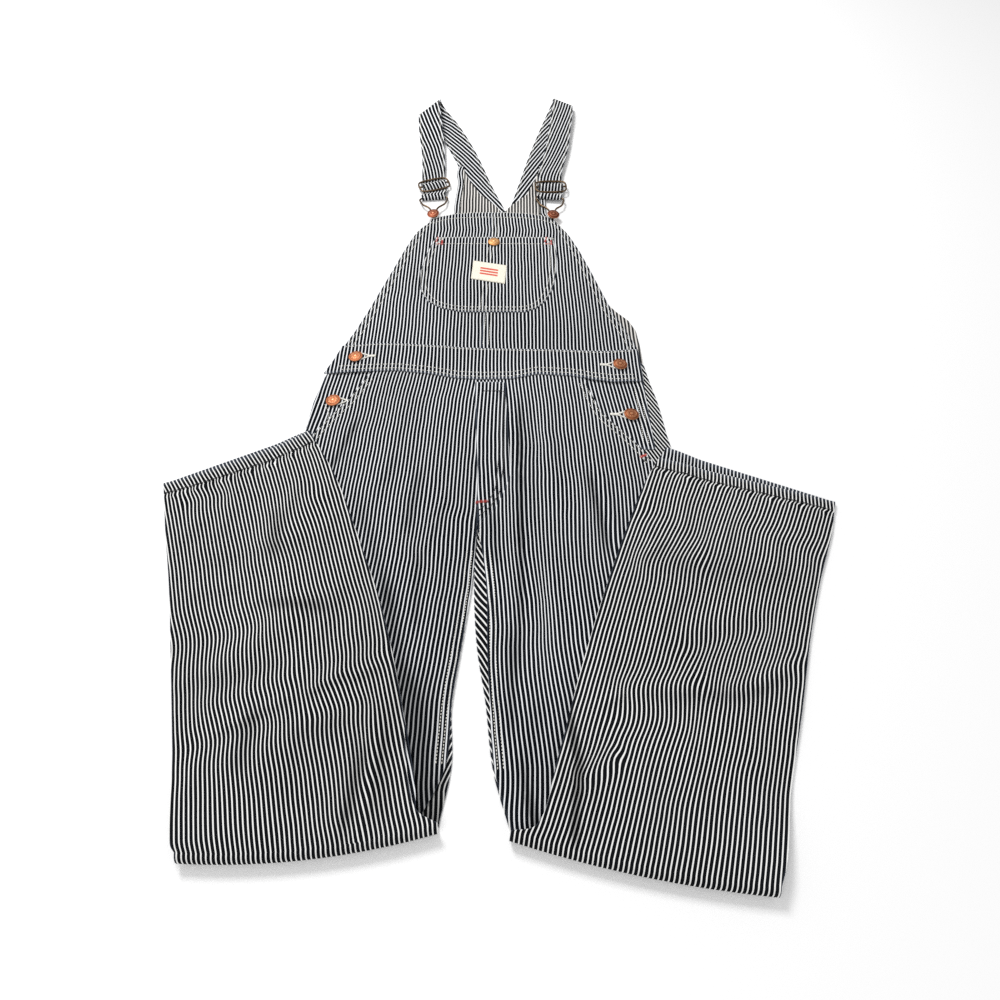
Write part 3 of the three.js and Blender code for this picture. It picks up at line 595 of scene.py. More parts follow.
def front_rise(x, y):
    """How far the front stands up: one dome above the crotch, and one for each leg below it."""
    x, y = np.broadcast_arrays(np.asarray(x, float), np.asarray(y, float))
    left, right = column(BODY, "left", y), column(BODY, "right", y)
    over = arch((x - left) / (right - left))
    split = smooth((CROTCH + 80 - y) / 160)
    is_left = x < column(BODY, "centre", y)
    fine = ridges(BODY_FOLDS, x, y) + ridges(BODY_CREASES, x, y)
    rise = np.zeros(x.shape)
    for leg, chosen in ((LEGS["left"], is_left), (LEGS["right"], ~is_left)):
        inner = column(leg["thigh"], "fi", y)
        outer = column(leg["thigh"], "bo", y)
        held = mix(over, arch((x - inner) / (outer - inner)), split)
        rise = np.where(chosen, (column(BODY, "dome", y) * held + fine * held) * calm(leg, x, y), rise)
    return rise


def back_under(x, y):
    return (WALL + SEAM) * smooth((y - 225) / 45)


def front_height(x, y):
    return WALL + SEAM + back_under(x, y) + front_rise(x, y)


def facing_under(x, y):
    return WALL + SEAM + np.maximum(0, front_rise(x, y) - WALL - SEAM)


back_top = above(back_under, WALL)
front_top = above(front_height, WALL)
facing_top = above(facing_under, WALL)
band_under = above(front_top, SEAM)
band_top = above(band_under, BAND_WALL)
pocket_top = above(front_height, 2 * WALL + SEAM)
label_under = above(pocket_top, SEAM)


def shin_lay(leg, x, y):
    """The underside of the folded shin: on the thigh, down the ramp beside it, and up at the knee."""
    thigh_edge = column(leg["thigh"], "bo", y)
    past = leg["side"] * (x - thigh_edge)
    held = np.minimum(x, thigh_edge) if leg["side"] > 0 else np.maximum(x, thigh_edge)
    on_thigh = front_height(held, y) + WALL + LAY
    rest = on_thigh * (1 - smooth((past - 2) / RAMP))
    turned = 2 * FOLD_RADIUS - 2 * WALL - SEAM
    return mix(turned, rest, calm(leg, x, y))


def catmull(points, t, closed=False):
    """Places on a smooth curve through points, at even shares t of its spans."""
    p = np.asarray(points, float)
    spans = len(p) if closed else len(p) - 1
    if closed:
        p = np.vstack([p[-1], p, p[0], p[1]])
    else:
        p = np.vstack([2 * p[0] - p[1], p, 2 * p[-1] - p[-2]])
    at = np.clip(np.asarray(t, float), 0, 1) * spans
    k = np.minimum(at.astype(int), spans - 1)
    w = (at - k)[:, None]
    a, b, c, d = p[k], p[k + 1], p[k + 2], p[k + 3]

    def gap(q, r):
        return np.maximum(np.sum((q - r) ** 2, axis=1), 1e-12)[:, None] ** 0.25

    g0, g1, g2 = gap(a, b), gap(b, c), gap(c, d)
    g0 = np.where(g0 < 1e-4, g1, g0)
    g2 = np.where(g2 < 1e-4, g1, g2)
    m1 = ((b - a) / g0 - (c - a) / (g0 + g1) + (c - b) / g1) * g1
    m2 = ((c - b) / g1 - (d - b) / (g1 + g2) + (d - c) / g2) * g1
    return b + m1 * w + (3 * (c - b) - 2 * m1 - m2) * w**2 + (2 * (b - c) + m1 + m2) * w**3


def linear(*colour):
    """A colour as it looks on screen, as the shader wants it."""
    return (*(c / 12.92 if c <= 0.04045 else ((c + 0.055) / 1.055) ** 2.4 for c in colour), 1)


class Value:
    """A number that a material works out, for use in plain sums."""

    def __init__(self, shade, socket):
        self.shade = shade
        self.socket = socket

    def __add__(self, other):
        return self.shade.maths("ADD", self, other)

    def __sub__(self, other):
        return self.shade.maths("SUBTRACT", self, other)

    def __mul__(self, other):
        return self.shade.maths("MULTIPLY", self, other)

    def __truediv__(self, other):
        return self.shade.maths("DIVIDE", self, other)


class Shade:
    """A material with a few short ways to add nodes."""

    def __init__(self, name, slot=None):
        self.material = bpy.data.materials.new(name)
        self.material.use_nodes = True
        self.tree = self.material.node_tree
        self.shader = self.tree.nodes["Principled BSDF"]

    def add(self, kind, **values):
        node = self.tree.nodes.new(kind)
        for name, value in values.items():
            setattr(node, name, value)
        return node

    def put(self, socket, value):
        if isinstance(value, Value):
            self.tree.links.new(value.socket, socket)
        else:
            socket.default_value = value

    def maths(self, operation, *values):
        node = self.add("ShaderNodeMath", operation=operation)
        for socket, value in zip(node.inputs, values):
            self.put(socket, value)
        return Value(self, node.outputs[0])

    def blend(self, factor, a, b, kind="MIX"):
        node = self.add("ShaderNodeMix", data_type="RGBA", blend_type=kind)
        self.put(node.inputs["Factor"], factor)
        self.put(node.inputs[6], a)
        self.put(node.inputs[7], b)
        return Value(self, node.outputs[2])

    def noise(self, place, scale, detail=2.0, rough=0.5):
        node = self.add("ShaderNodeTexNoise")
        self.put(node.inputs["Vector"], place)
        node.inputs["Scale"].default_value = scale
        node.inputs["Detail"].default_value = detail
        node.inputs["Roughness"].default_value = rough
        return Value(self, node.outputs["Fac"])

    def uneven(self, place, scale, detail, size):
        """A noise about nought, in millimetres."""
        return (self.noise(place, scale, detail) - 0.5) * size

    def ramp(self, value, low, high, to_low=0.0, to_high=1.0, kind="SMOOTHSTEP"):
        node = self.add("ShaderNodeMapRange", interpolation_type=kind)
        for socket, each in zip(node.inputs, (value, low, high, to_low, to_high)):
            self.put(socket, each)
        return Value(self, node.outputs[0])

    def band(self, value, middle, inside, outside):
        """1 where the value is within inside of the middle, and 0 beyond outside."""
        return self.ramp(self.maths("ABSOLUTE", value - middle), inside, outside, 1.0, 0.0)

    def ripple(self, value, pitch):
        return self.maths("SINE", value * (2 * math.pi / pitch))

    def bump(self, height, distance, strength):
        node = self.add("ShaderNodeBump")
        node.inputs["Strength"].default_value = strength
        node.inputs["Distance"].default_value = distance
        self.put(node.inputs["Height"], height)
        self.put(self.shader.inputs["Normal"], Value(self, node.outputs[0]))

    def surface(self, colour, rough, **same):
        """Colour and roughness, with what is the same all over given by name."""
        self.put(self.shader.inputs["Base Color"], colour)
        self.put(self.shader.inputs["Roughness"], rough)
        for name, value in same.items():
            self.shader.inputs[INPUTS[name]].default_value = value

    def body_place(self):
        return Value(self, self.add("ShaderNodeTexCoord").outputs["Object"])

    def point_value(self, name):
        return Value(self, self.add("ShaderNodeAttribute", attribute_name=name).outputs["Fac"])

    def cloth_place(self):
        """The cloth's own place, and its two parts in millimetres."""
        uv = Value(self, self.add("ShaderNodeUVMap", uv_map="cloth").outputs[0])
        split = self.add("ShaderNodeSeparateXYZ")
        self.put(split.inputs[0], uv)
        return uv, Value(self, split.outputs[0]) * 1000.0, Value(self, split.outputs[1]) * 1000.0


INPUTS = {"metal": "Metallic", "specular": "Specular IOR Level", "sheen": "Sheen Weight"}


def denim(name, slot, dark, light, weft, share, fade):
    """Striped twill: dark and light warp stripes, a slanting rib and a weft that shows in the rib, with
    painted shade from each piece's deep value.
    """
    shade = Shade(name, slot)
    uv, across, along = shade.cloth_place()
    place = shade.body_place()
    jog = across + shade.uneven(place, 45, 0, 0.9)
    stray = shade.uneven(place, 18, 1, 1.4) + shade.uneven(uv, 2600, 2, 0.14)
    phase = shade.maths("FRACT", (jog + stray) / PITCH)
    far = shade.maths("ABSOLUTE", phase - 0.5) * 2.0
    stripe = shade.ramp(far, share - STRIPE_EDGE, share + STRIPE_EDGE, 1.0, 0.0)
    rib = shade.ripple(across * 1.3 + along * 0.8, RIB_PITCH)
    worn = shade.ramp(shade.noise(place, 9, 4, 0.6), 0.35, 0.75, 0.0, fade)
    specks = shade.ramp(shade.noise(uv, 900, 3, 0.7), 0.58, 0.74, 0.0, 0.02)
    paler = shade.maths("MAXIMUM", worn + shade.point_value("wear"), specks)
    ink = shade.blend(paler, dark, weft)
    ink = shade.blend(shade.ramp(rib, 0.35, 0.95, 0.0, 0.025), ink, weft)
    paint = shade.blend(stripe, ink, light)
    soil = shade.ramp(shade.noise(place, 5, 3), 0.3, 0.7, 0.90, 1.0)
    paint = shade.blend(1.0, paint, soil, "MULTIPLY")
    # Painted shade: each piece's deep value darkens the cloth in its troughs, beside its ridges and along the
    # painted shade lines.
    deep = shade.ramp(shade.point_value("deep"), 0.0, 1.0, 1.0, PAINTED_SHADE_BRIGHTNESS, "LINEAR")
    paint = shade.blend(1.0, paint, deep, "MULTIPLY")
    rough = shade.ramp(shade.noise(uv, 400, 2), 0.3, 0.7, 0.8, 0.96)
    shade.surface(paint, rough, specular=0.04)
    weave = rib * 0.55 + shade.ripple(across, YARN_PITCH) * 0.3 + shade.ripple(along, PICK_PITCH) * 0.2
    shade.bump(weave + shade.noise(uv, 240, 3) * 1.4, 0.00016, 0.7)
    return shade.material


def thread(name, slot, colour):
    """Sewing thread: a tight twist with small changes of colour."""
    shade = Shade(name, slot)
    place = shade.body_place()
    spots = shade.ramp(shade.noise(place, 600, 2), 0.3, 0.7, 0.72, 1.0)
    rough = shade.ramp(spots, 0.72, 1.0, 0.75, 0.55)
    shade.surface(shade.blend(1.0, colour, spots, "MULTIPLY"), rough, sheen=0.2)
    shade.bump(shade.noise(place, 2500, 2), 0.00012, 0.8)
    return shade.material


def copper_metal(name, high, low, rim):
    """Pressed copper: worn bright on the raised relief and brown in the hollows."""
    shade = Shade(name, "copper")
    across, along = shade.cloth_place()[1:]
    far = shade.maths("SQRT", across * across + along * along)
    petals = shade.maths("SINE", shade.maths("ARCTAN2", along, across) * 12.0)
    beads = shade.ramp(petals, -0.2, 0.6) * shade.band(far, 4.4, 0.5, 1.1)
    relief = shade.maths("MAXIMUM", shade.band(far, 5.9, 0.15, 0.5), beads)
    relief = shade.maths("MAXIMUM", relief, shade.ramp(far, 1.2, 2.4, 1.0, 0.0))
    stain = shade.noise(shade.body_place(), 420, 4, 0.65)
    dim = [0.78 * c for c in high[:3]] + [1]
    deep = [0.6 * c for c in low[:3]] + [1]
    bright = shade.blend(shade.ramp(stain, 0.35, 0.68), high, dim)
    brown = shade.blend(shade.ramp(stain, 0.3, 0.7), deep, low)
    worn = shade.maths("MAXIMUM", relief * 0.8, shade.ramp(far, 8.6, 9.1, 0.0, rim))
    shade.surface(shade.blend(worn, brown, bright), shade.ramp(stain, 0.3, 0.75, 0.4, 0.6), metal=0.9)
    shade.bump(relief + stain * 0.12, 0.00022, 0.8)
    return shade.material


def wire_metal():
    """Drawn wire with an aged brass finish."""
    shade = Shade("aged_wire", "wire")
    place = shade.body_place()
    stain = shade.noise(place, 260, 4, 0.6)
    colour = shade.blend(shade.ramp(stain, 0.35, 0.7), linear(0.30, 0.24, 0.18), linear(0.50, 0.41, 0.31))
    shade.surface(colour, shade.ramp(stain, 0.3, 0.7, 0.26, 0.46), metal=0.95)
    shade.bump(shade.noise(place, 1800, 2), 0.00006, 0.5)
    return shade.material


def label_cloth():
    """Woven cream tape with plain red bars and no words."""
    shade = Shade("label_tape", "label_cloth")
    uv, across, along = shade.cloth_place()
    bars = shade.band(along, 6.0, 1.6, 2.0)
    for middle in (0.0, -6.0):
        bars = shade.maths("MAXIMUM", bars, shade.band(along, middle, 1.6, 2.0))
    bars = bars * shade.band(across, 0.0, 13.0, 13.6)
    grain = shade.noise(uv, 1500, 2)
    mottle = shade.ramp(grain, 0.3, 0.7)
    cream = shade.blend(mottle, linear(0.94, 0.92, 0.84), linear(0.98, 0.96, 0.90))
    red = shade.blend(mottle, linear(0.84, 0.30, 0.24), linear(0.90, 0.42, 0.34))
    shade.surface(shade.blend(bars, cream, red), shade.ramp(grain, 0.3, 0.7, 0.7, 0.9))
    weave = shade.ripple(across, TAPE_PITCH) * shade.ripple(along, TAPE_PITCH)
    shade.bump(weave + bars * 0.8, 0.00012, 0.7)
    return shade.material


NAVY = linear(0.016, 0.026, 0.05)
BLACKER = linear(0.042, 0.047, 0.056)
WHITE = linear(0.95, 0.957, 0.965)
BONE = linear(0.97, 0.97, 0.962)
PALE = linear(0.46, 0.50, 0.57)
TORSO = denim("denim_body", "denim", NAVY, WHITE, PALE, 0.305, 0.02)
SHANK = denim("denim_legs", "denim", BLACKER, BONE, PALE, 0.305, 0.015)
STRAP = denim("denim_straps", "denim", BLACKER, WHITE, PALE, 0.31, 0.015)
BACKING = denim("denim_wrong_side", "denim_inside", linear(0.13, 0.13, 0.132), linear(0.90, 0.885, 0.865),
                linear(0.60, 0.60, 0.60), 0.41, 0.08)
THREADS = {
    "white": thread("sewing_thread_white", "thread_white", linear(0.95, 0.94, 0.90)),
    "dark": thread("sewing_thread_dark", "thread_dark", linear(0.06, 0.06, 0.08)),
    "red": thread("sewing_thread_red", "thread_red", linear(0.78, 0.20, 0.15)),
}
COPPER = copper_metal("button_copper", linear(0.86, 0.63, 0.47), linear(0.62, 0.36, 0.23), 0.5)
COPPER_OLD = copper_metal("button_copper_worn", linear(0.80, 0.55, 0.43), linear(0.46, 0.22, 0.14), 0.9)
COPPER_GOLD = copper_metal("snap_copper", linear(0.98, 0.84, 0.62), linear(0.80, 0.56, 0.34), 0.3)
BRASS = wire_metal()
LABEL_TAPE = label_cloth()


# Meshes
def placed(name, data):
    """A new object in the scene."""
    made = bpy.data.objects.new(name, data)
    scene.collection.objects.link(made)
    return made


def make(name, points, faces, material, uv=None, corner=50, node=None, **values):
    """A smooth-shaded piece from points in millimetres in the drawing frame."""
    mesh = bpy.data.meshes.new(name)
    mesh.from_pydata(((np.asarray(points, float) + SHIFT) / 1000).tolist(), [], faces)
    mesh.validate()
    if uv is not None:
        layer = mesh.uv_layers.new(name="cloth")
        corners = np.empty(len(mesh.loops), dtype=np.int32)
        mesh.loops.foreach_get("vertex_index", corners)
        layer.data.foreach_set("uv", (np.asarray(uv)[corners] / 1000).astype(np.float32).ravel())
    for title, each in values.items():
        attribute = mesh.attributes.new(title, "FLOAT", "POINT")
        attribute.data.foreach_set("value", np.asarray(each, np.float32))
    mesh.shade_smooth()
    mesh.set_sharp_from_angle(angle=math.radians(corner))
    mesh.materials.append(material)
    made = placed(name, mesh)
    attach(made, "root")
    if node:
        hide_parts(node)


def grid_faces(rows, cols, start=0, flip=False):
    i, j = np.meshgrid(np.arange(rows - 1), np.arange(cols - 1), indexing="ij")
    a = (start + i * cols + j).ravel()
    quads = np.stack([a, a + cols, a + cols + 1, a + 1], axis=1)
    return quads[:, ::-1] if flip else quads


def ring_faces(levels, sides, closed=False, inward=False):
    """Quads from each ring of points to the next."""
    k, j = np.meshgrid(np.arange(levels if closed else levels - 1), np.arange(sides), indexing="ij")
    here, there = k * sides, (k + 1) % levels * sides
    a, b = here + j, here + (j + 1) % sides
    c, d = there + (j + 1) % sides, there + j
    return stacked(*((a, d, c, b) if inward else (a, b, c, d))).reshape(-1, 4)


def wall(name, outer, inner, material, uv, uv_inner=None, node=None, **values):
    """A closed wall between two grids of points."""
    rows, cols = outer.shape[:2]
    count = rows * cols
    points = np.vstack([outer.reshape(-1, 3), inner.reshape(-1, 3)])
    ring = np.concatenate([
        np.arange(cols),
        np.arange(1, rows) * cols + cols - 1,
        (rows - 1) * cols + np.arange(cols - 2, -1, -1),
        np.arange(rows - 2, 0, -1) * cols,
    ])
    after = np.roll(ring, -1)
    rim = np.stack([ring, after, after + count, ring + count], axis=1)
    faces = np.vstack([grid_faces(rows, cols), grid_faces(rows, cols, count, True), rim])
    a, b, c, d = (points[faces[:, k]] for k in range(4))
    volume = np.sum(a * np.cross(b, c)) + np.sum(a * np.cross(c, d))
    if volume < 0:
        faces = faces[:, ::-1]
    both = np.vstack([uv.reshape(-1, 2), (uv if uv_inner is None else uv_inner).reshape(-1, 2)])
    values = {title: np.tile(each.ravel(), 2) for title, each in values.items()}
    make(name, points, faces.tolist(), material, both, node=node, **values)


def spaced(count, rim):
    """Shares across a panel, with two close to each edge for a soft rim."""
    inside = np.linspace(rim, 1 - rim, count)
    return np.concatenate([[0, rim * 0.35], inside, [1 - rim * 0.35, 1]])


def share_grid(rows, cols, rim_down, rim_across):
    return np.meshgrid(spaced(rows, rim_down), spaced(cols, rim_across), indexing="ij")


def from_edge(v, s, long, wide):
    """How far each place is from the nearest edge of its panel."""
    return np.minimum(np.minimum(s, 1 - s) * wide, np.minimum(v, 1 - v) * long)


def edge_wear(shape, reach_rows, reach_cols, most):
    """Paler cloth along the four edges of a grid."""
    rows, cols = shape
    i = np.minimum(np.arange(rows), np.arange(rows)[::-1])[:, None] / reach_rows
    j = np.minimum(np.arange(cols), np.arange(cols)[::-1])[None, :] / reach_cols
    return most * np.maximum(np.clip(1 - i, 0, 1), np.clip(1 - j, 0, 1))


def panel(name, node, x, y, near, base, thick=WALL, material=TORSO, hem=0.35, sway=BODY_SWAYS,
          grain=0.0, shift=0.0):
    """A sewn panel on a surface: near is the distance of each place from the panel's edge."""
    soft = 0.45 * bell(near / 0.8)
    turned_in = hem * smooth((10 - near) / 3) * smooth(near / 1.5)
    uv = stacked(x + ridges(sway, x, y) + grain * y + shift, y)
    # The deep value is painted shade from the body's creases and shade lines.
    wall(name, stacked(x, y, base + thick - soft + turned_in), stacked(x, y, base), material, uv,
         node=node, wear=0.3 * bell(near / 1.2), deep=painted_shade_of(BODY_CREASES, BODY_PAINTED_SHADE_LINES, x, y))


def patch(name, node, left, right, high, low, under, rows, cols, slant=None, **more):
    """A panel between two side edges given by height y."""
    v, s = share_grid(rows, cols, 0.006, 0.012)
    y = mix(high, low, v)
    xa, xb = left(y), right(y)
    x = mix(xa, xb, s)
    if slant is not None:
        y = y + slant(v, s)
    near = from_edge(v, s, abs(high - low), np.abs(xb - xa))
    panel(name, node, x, y, near, under(x, y), **more)


# One panel of a leg: places on the thigh and on the shin for shares t along and s across
def leg_edges(leg, is_back):
    thigh, shin, fold = leg["thigh"], leg["shin"], leg["fold"]
    names = ("bi", "bo") if is_back else ("fi", "fo")
    inner = fold["inner"] if is_back else fold["front"]
    outer = fold["outer"]
    return {
        "thigh_in": np.vstack([stacked(thigh[names[0]], thigh["y"]), inner]),
        "thigh_out": np.vstack([stacked(thigh[names[1]], thigh["y"] - thigh["drop"]), outer]),
        "shin_in": np.vstack([inner, stacked(shin["xi"], shin["yi"])]),
        "shin_out": np.vstack([outer, stacked(shin["xo"], shin["yo"])]),
        "inner": inner,
        "outer": outer,
    }


def bow(leg, edges, s):
    """How far the knee's fold bulges out of a straight line."""
    fold = leg["fold"]
    x = mix(edges["inner"][0], edges["outer"][0], s)
    share = (x - fold["inner"][0]) / (edges["outer"][0] - fold["inner"][0])
    return leg["knee"]["bulge"] * 4 * share * (1 - share)


def thigh_place(leg, is_back, t, s):
    edges = leg_edges(leg, is_back)
    a = catmull(edges["thigh_in"], t)[:, None, :]
    b = catmull(edges["thigh_out"], t)[:, None, :]
    near = smooth(1 - (1 - t) * (11 / 3 if is_back else 6))[:, None]
    p = a + (b - a) * s[None, :, None]
    push = bow(leg, edges, s)[None, :] * near
    return p[..., 0] + push * leg["fold"]["out"][0], p[..., 1] + push * leg["fold"]["out"][1]


def shin_long(leg, is_back):
    line = leg_edges(leg, is_back)["shin_in"]
    return float(np.linalg.norm(line[-1] - line[0]))


def shin_place(leg, is_back, t, s):
    """x, y and underside of the shin's cloth, for equal-shaped t and s."""
    edges = leg_edges(leg, is_back)
    short = 0 * s
    if is_back:
        a, m, b = (leg["short"][name] for name in ("inner", "middle", "outer"))
        short = mix(a, b, s) + (m - mix(a, b, 0.5)) * arch(s)
    at = (t * (1 - short / shin_long(leg, is_back))).ravel()
    p_in = catmull(edges["shin_in"], at).reshape(*t.shape, 2)
    p_out = catmull(edges["shin_out"], at).reshape(*t.shape, 2)
    p = p_in + (p_out - p_in) * s[..., None]
    push = bow(leg, edges, s) * smooth(1 - 5 * t)
    x = p[..., 0] + push * leg["fold"]["out"][0]
    y = p[..., 1] + push * leg["fold"]["out"][1]
    base = shin_lay(leg, x, y)
    if is_back:
        folds = ridges(leg["folds"], x, y) + ridges(leg["creases"], x, y)
        puff = np.maximum((SHIN_DOME + folds) * arch(s) * calm(leg, x, y), 0)
        base = base + WALL + SEAM + 0.3 * smooth(t * 12) + puff
    return x, y, base


def hem_share(leg):
    return 1 - HEM_WIDTH / shin_long(leg, True)


def past_hem(leg, t):
    """How far past the hem's row of stitches, in millimetres."""
    return (t - hem_share(leg)) * shin_long(leg, True)


def puckers(leg, t, s):
    """Small gathers that the hem's stitching pulls, on both sides of its row."""
    wide = HEM_LONG * s
    wave = np.sin(wide * 0.62 + 1.4 * np.sin(wide * 0.11)) + 0.5 * np.sin(wide * 0.33 + 1)
    gathers = 0.8 * wave * bell((past_hem(leg, t) + 5) / 8)
    return np.maximum(gathers, -0.25) * arch(s)


def hem_pull(leg, t, s):
    """How far the stripes jog where the hem is sewn down."""
    away = past_hem(leg, t)
    wide = HEM_LONG * s
    turned = 0.22 * np.clip(away, 0, 20) - 1.6 * smooth((away + 3) / 3)
    gathers = 0.75 * np.sin(wide * 0.55 + 1.2 * np.sin(wide * 0.09)) + 0.9 * np.sin(wide * 0.21)
    return turned + gathers * bell((away + 4) / 7)


def stripe_slip(grid, first, held, s):
    """How far the held line strays, above the knee, from the straight stripe that it joins."""
    line = grid[:, int(np.argmin(np.abs(s - held))), :2]
    far = first + SLIP_ROWS
    ahead = unit(line[far + 20] - line[far])
    across = unit(grid[:, -1, :2] - grid[:, 0, :2])
    gap = line - line[far]
    turn = ahead[0] * across[:, 1] - ahead[1] * across[:, 0]
    slip = (ahead[0] * gap[:, 1] - ahead[1] * gap[:, 0]) / turn
    slip[far:] = 0
    slip[:first] = slip[first]
    return slip[first - FOLD_ROWS:] - slip[first]


def leg_grids(leg, is_back, s, t_shin, s_shin):
    """Both faces of a leg's panel: down the thigh, round the knee's fold and up the shin."""
    edges = leg_edges(leg, is_back)
    x, y = thigh_place(leg, is_back, np.linspace(0, 1, THIGH_ROWS), s)
    z = 0 * x if is_back else front_height(x, y)
    outside = list(stacked(x, y, z))
    inside = list(stacked(x, y, z + WALL))
    reach = FOLD_RADIUS if is_back else FOLD_RADIUS - WALL - SEAM
    centre = edges["inner"] + (edges["outer"] - edges["inner"]) * s[:, None]
    for angle in np.radians(np.linspace(-78, 78, FOLD_ROWS)):
        for radius, grid in ((reach, outside), (reach - WALL, inside)):
            push = bow(leg, edges, s)[:, None] + radius * math.cos(angle)
            xy = centre + push * leg["fold"]["out"]
            z = np.full(len(s), FOLD_RADIUS + radius * math.sin(angle))
            grid.append(np.column_stack([xy, z]))
    x, y, base = shin_place(leg, is_back, t_shin, s_shin)
    rise = 0 * x
    if is_back:
        base = base + puckers(leg, t_shin, s_shin)
        rise = HEM_RISE * smooth((t_shin - hem_share(leg)) / HEM_STEP)
        rise = rise * (1 - 0.5 * smooth((t_shin - (1 - HEM_STEP)) / HEM_STEP))
    outside.extend(stacked(x, y, base + WALL + rise))
    inside.extend(stacked(x, y, base))
    return np.array(outside), np.array(inside)


def leg_panel(side, is_back):
    leg = LEGS[side]
    s = spaced(64, 0.006)
    hem = hem_share(leg)
    t_shin = np.concatenate([np.linspace(0, hem - HEM_STEP, 120), np.linspace(hem, 1, 8)])
    t_shin, s_shin = np.meshgrid(t_shin, s, indexing="ij")
    outside, inside = leg_grids(leg, is_back, s, t_shin, s_shin)
    x, y = outside[..., 0], outside[..., 1]
    knee, shin = THIGH_ROWS, THIGH_ROWS + FOLD_ROWS
    # The cloth's own place: across from a grain line that runs down the leg, and along it.
    steps_long = np.linalg.norm(np.diff(outside[:, len(s) // 2, :], axis=0), axis=1)
    along = np.concatenate([[0], np.cumsum(steps_long)])[:, None]
    widths = np.linalg.norm(outside[:, -1, :] - outside[:, 0, :], axis=1)[:, None]
    grain = 0.5 * (column(leg["thigh"], "bi", y[:knee]) + column(leg["thigh"], "bo", y[:knee]))
    u = np.empty(x.shape)
    u[:knee] = (x[:knee] - grain) * leg["close"][0] + ridges(BODY_SWAYS, x[:knee], y[:knee])
    if is_back:
        u[:knee] += leg["side"] * 0.5 * np.maximum(y[:knee] - SPREAD_BELOW, 0)
    held = leg["hold"]
    last = u[knee - 1].copy()
    u[knee:] = leg["side"] * (s - held) * widths[knee:] * leg["close"][1]
    u[knee:] += leg["side"] * stripe_slip(outside, shin, held, s)[:, None] * leg["close"][1]
    u[knee:] += np.interp(held, s, last)
    u[shin:] += ridges(leg["sways"], x[shin:], y[shin:]) + hem_pull(leg, t_shin, s_shin)
    # The last rows of the thigh settle to the row that the knee's stripes join.
    settling = slice(knee - SETTLE_ROWS, knee)
    u[settling] = mix(u[settling], last, smooth(np.arange(SETTLE_ROWS) / 14)[:, None])
    # Painted shade: the body's on the thigh, none round the knee's fold, and the shin's own on the shin.
    deep = painted_shade_of(BODY_CREASES, BODY_PAINTED_SHADE_LINES, x, y)
    deep[knee:] = 0
    deep[shin:] = painted_shade_of(leg["creases"], leg["shades"], x[shin:], y[shin:])
    which = "back" if is_back else "front"
    wall(which + "_leg_" + side + "_cloth", outside, inside, SHANK if is_back else TORSO, stacked(u, along),
         node="leg_" + which + "_" + side, wear=edge_wear(x.shape, 3, 2, 0.25), deep=deep)


# Straps
def strap_rows(side):
    """The strap as a grid of places, from the back over the shoulder and round the hardware."""
    h = HARDWARE[side]
    out = -1 if side == "left" else 1

    def at(part, offset, z, turn=1.0, lean=1.0):
        """Both edges of the strap, so far up from the middle of the slide or the bar."""
        angle = h[part + "_turn"]
        dx, dy = turned_by(0, offset, angle * lean)
        ax, ay = turned_by(out * STRAP_WIDTH / 2, 0, angle * turn)
        x, y = h[part][0] + dx, h[part][1] + dy
        return (x - ax, y - ay, z), (x + ax, y + ay, z)

    rest, bars = h["rest"], h["rest"] + SLIDE_LIFT
    reach = SLIDE["height"] / 2
    first = STRAPS[side]
    rows = list(zip(zip(first["xi"], first["yi"], first["zi"]), zip(first["xo"], first["yo"], first["zo"])))
    rows += [
        at("slide", reach + 20, bars - 0.6, 0.45, 0.2),
        at("slide", reach + 5, bars - BEND, 0.8, 0.4),
        at("slide", reach - 2, bars - BEND),
        at("slide", 2.4, bars + BEND),
        at("slide", -2.4, bars + BEND),
        at("slide", -reach + 2, bars - BEND),
        at("slide", -reach - 3, bars - BEND),
        at("bar", 5.5, rest + 2 * BEND + 0.3),
        at("bar", 0, rest + 2 * BEND),
        at("bar", -BEND * 0.85, rest + BEND * 1.5),
        at("bar", -BEND * 0.85, rest + BEND * 0.5),
        at("bar", 0, rest),
        at("bar", 9, rest),
        at("slide", 0, rest),
        at("slide", reach + 3, rest),
    ]
    t = np.linspace(0, 1, 420)
    inner, outer = catmull([row[0] for row in rows], t), catmull([row[1] for row in rows], t)
    s = spaced(14, 0.03)
    return inner[:, None, :] + (outer - inner)[:, None, :] * s[None, :, None], s


def strap(side):
    rows, s = strap_rows(side)
    normal = unit(np.cross(np.gradient(rows, axis=0), np.gradient(rows, axis=1)))
    near = np.minimum(s, 1 - s) * STRAP_WIDTH
    half = (WALL / 2 - 0.2 * bell(near / 0.7))[None, :, None]
    top, low = rows + normal * half, rows - normal * half
    for grid in (top, low):
        grid[..., 2] = np.maximum(grid[..., 2], 0)
    middle = rows[:, rows.shape[1] // 2]
    run = np.concatenate([[0], np.cumsum(np.linalg.norm(np.diff(middle, axis=0), axis=1))])[:, None]
    wide = (s - 0.5) * STRAP_WIDTH
    # The cloth is folded lengthways, so its two faces lean opposite ways.
    inside = stacked((wide - run * 0.24) * 0.8, run)
    outside = stacked((wide + run * 0.15) * 0.92, run)
    up_first = normal[20, 8, 2] > 0
    faces = (inside, outside) if up_first else (outside, inside)
    wall("strap_" + side + "_cloth", top, low, STRAP, faces[0], faces[1], node="strap_" + side,
         wear=edge_wear(rows.shape[:2], 2, 2, 0.3))
    return top, low, normal, s


# Wire and buttons
def rings_round(centre, side, up, radius, sides):
    """A ring of points round each centre."""
    angle = np.linspace(0, 2 * math.pi, sides, endpoint=False)[None, :, None]
    return centre[:, None, :] + radius * (np.cos(angle) * side[:, None, :] + np.sin(angle) * up[:, None, :])


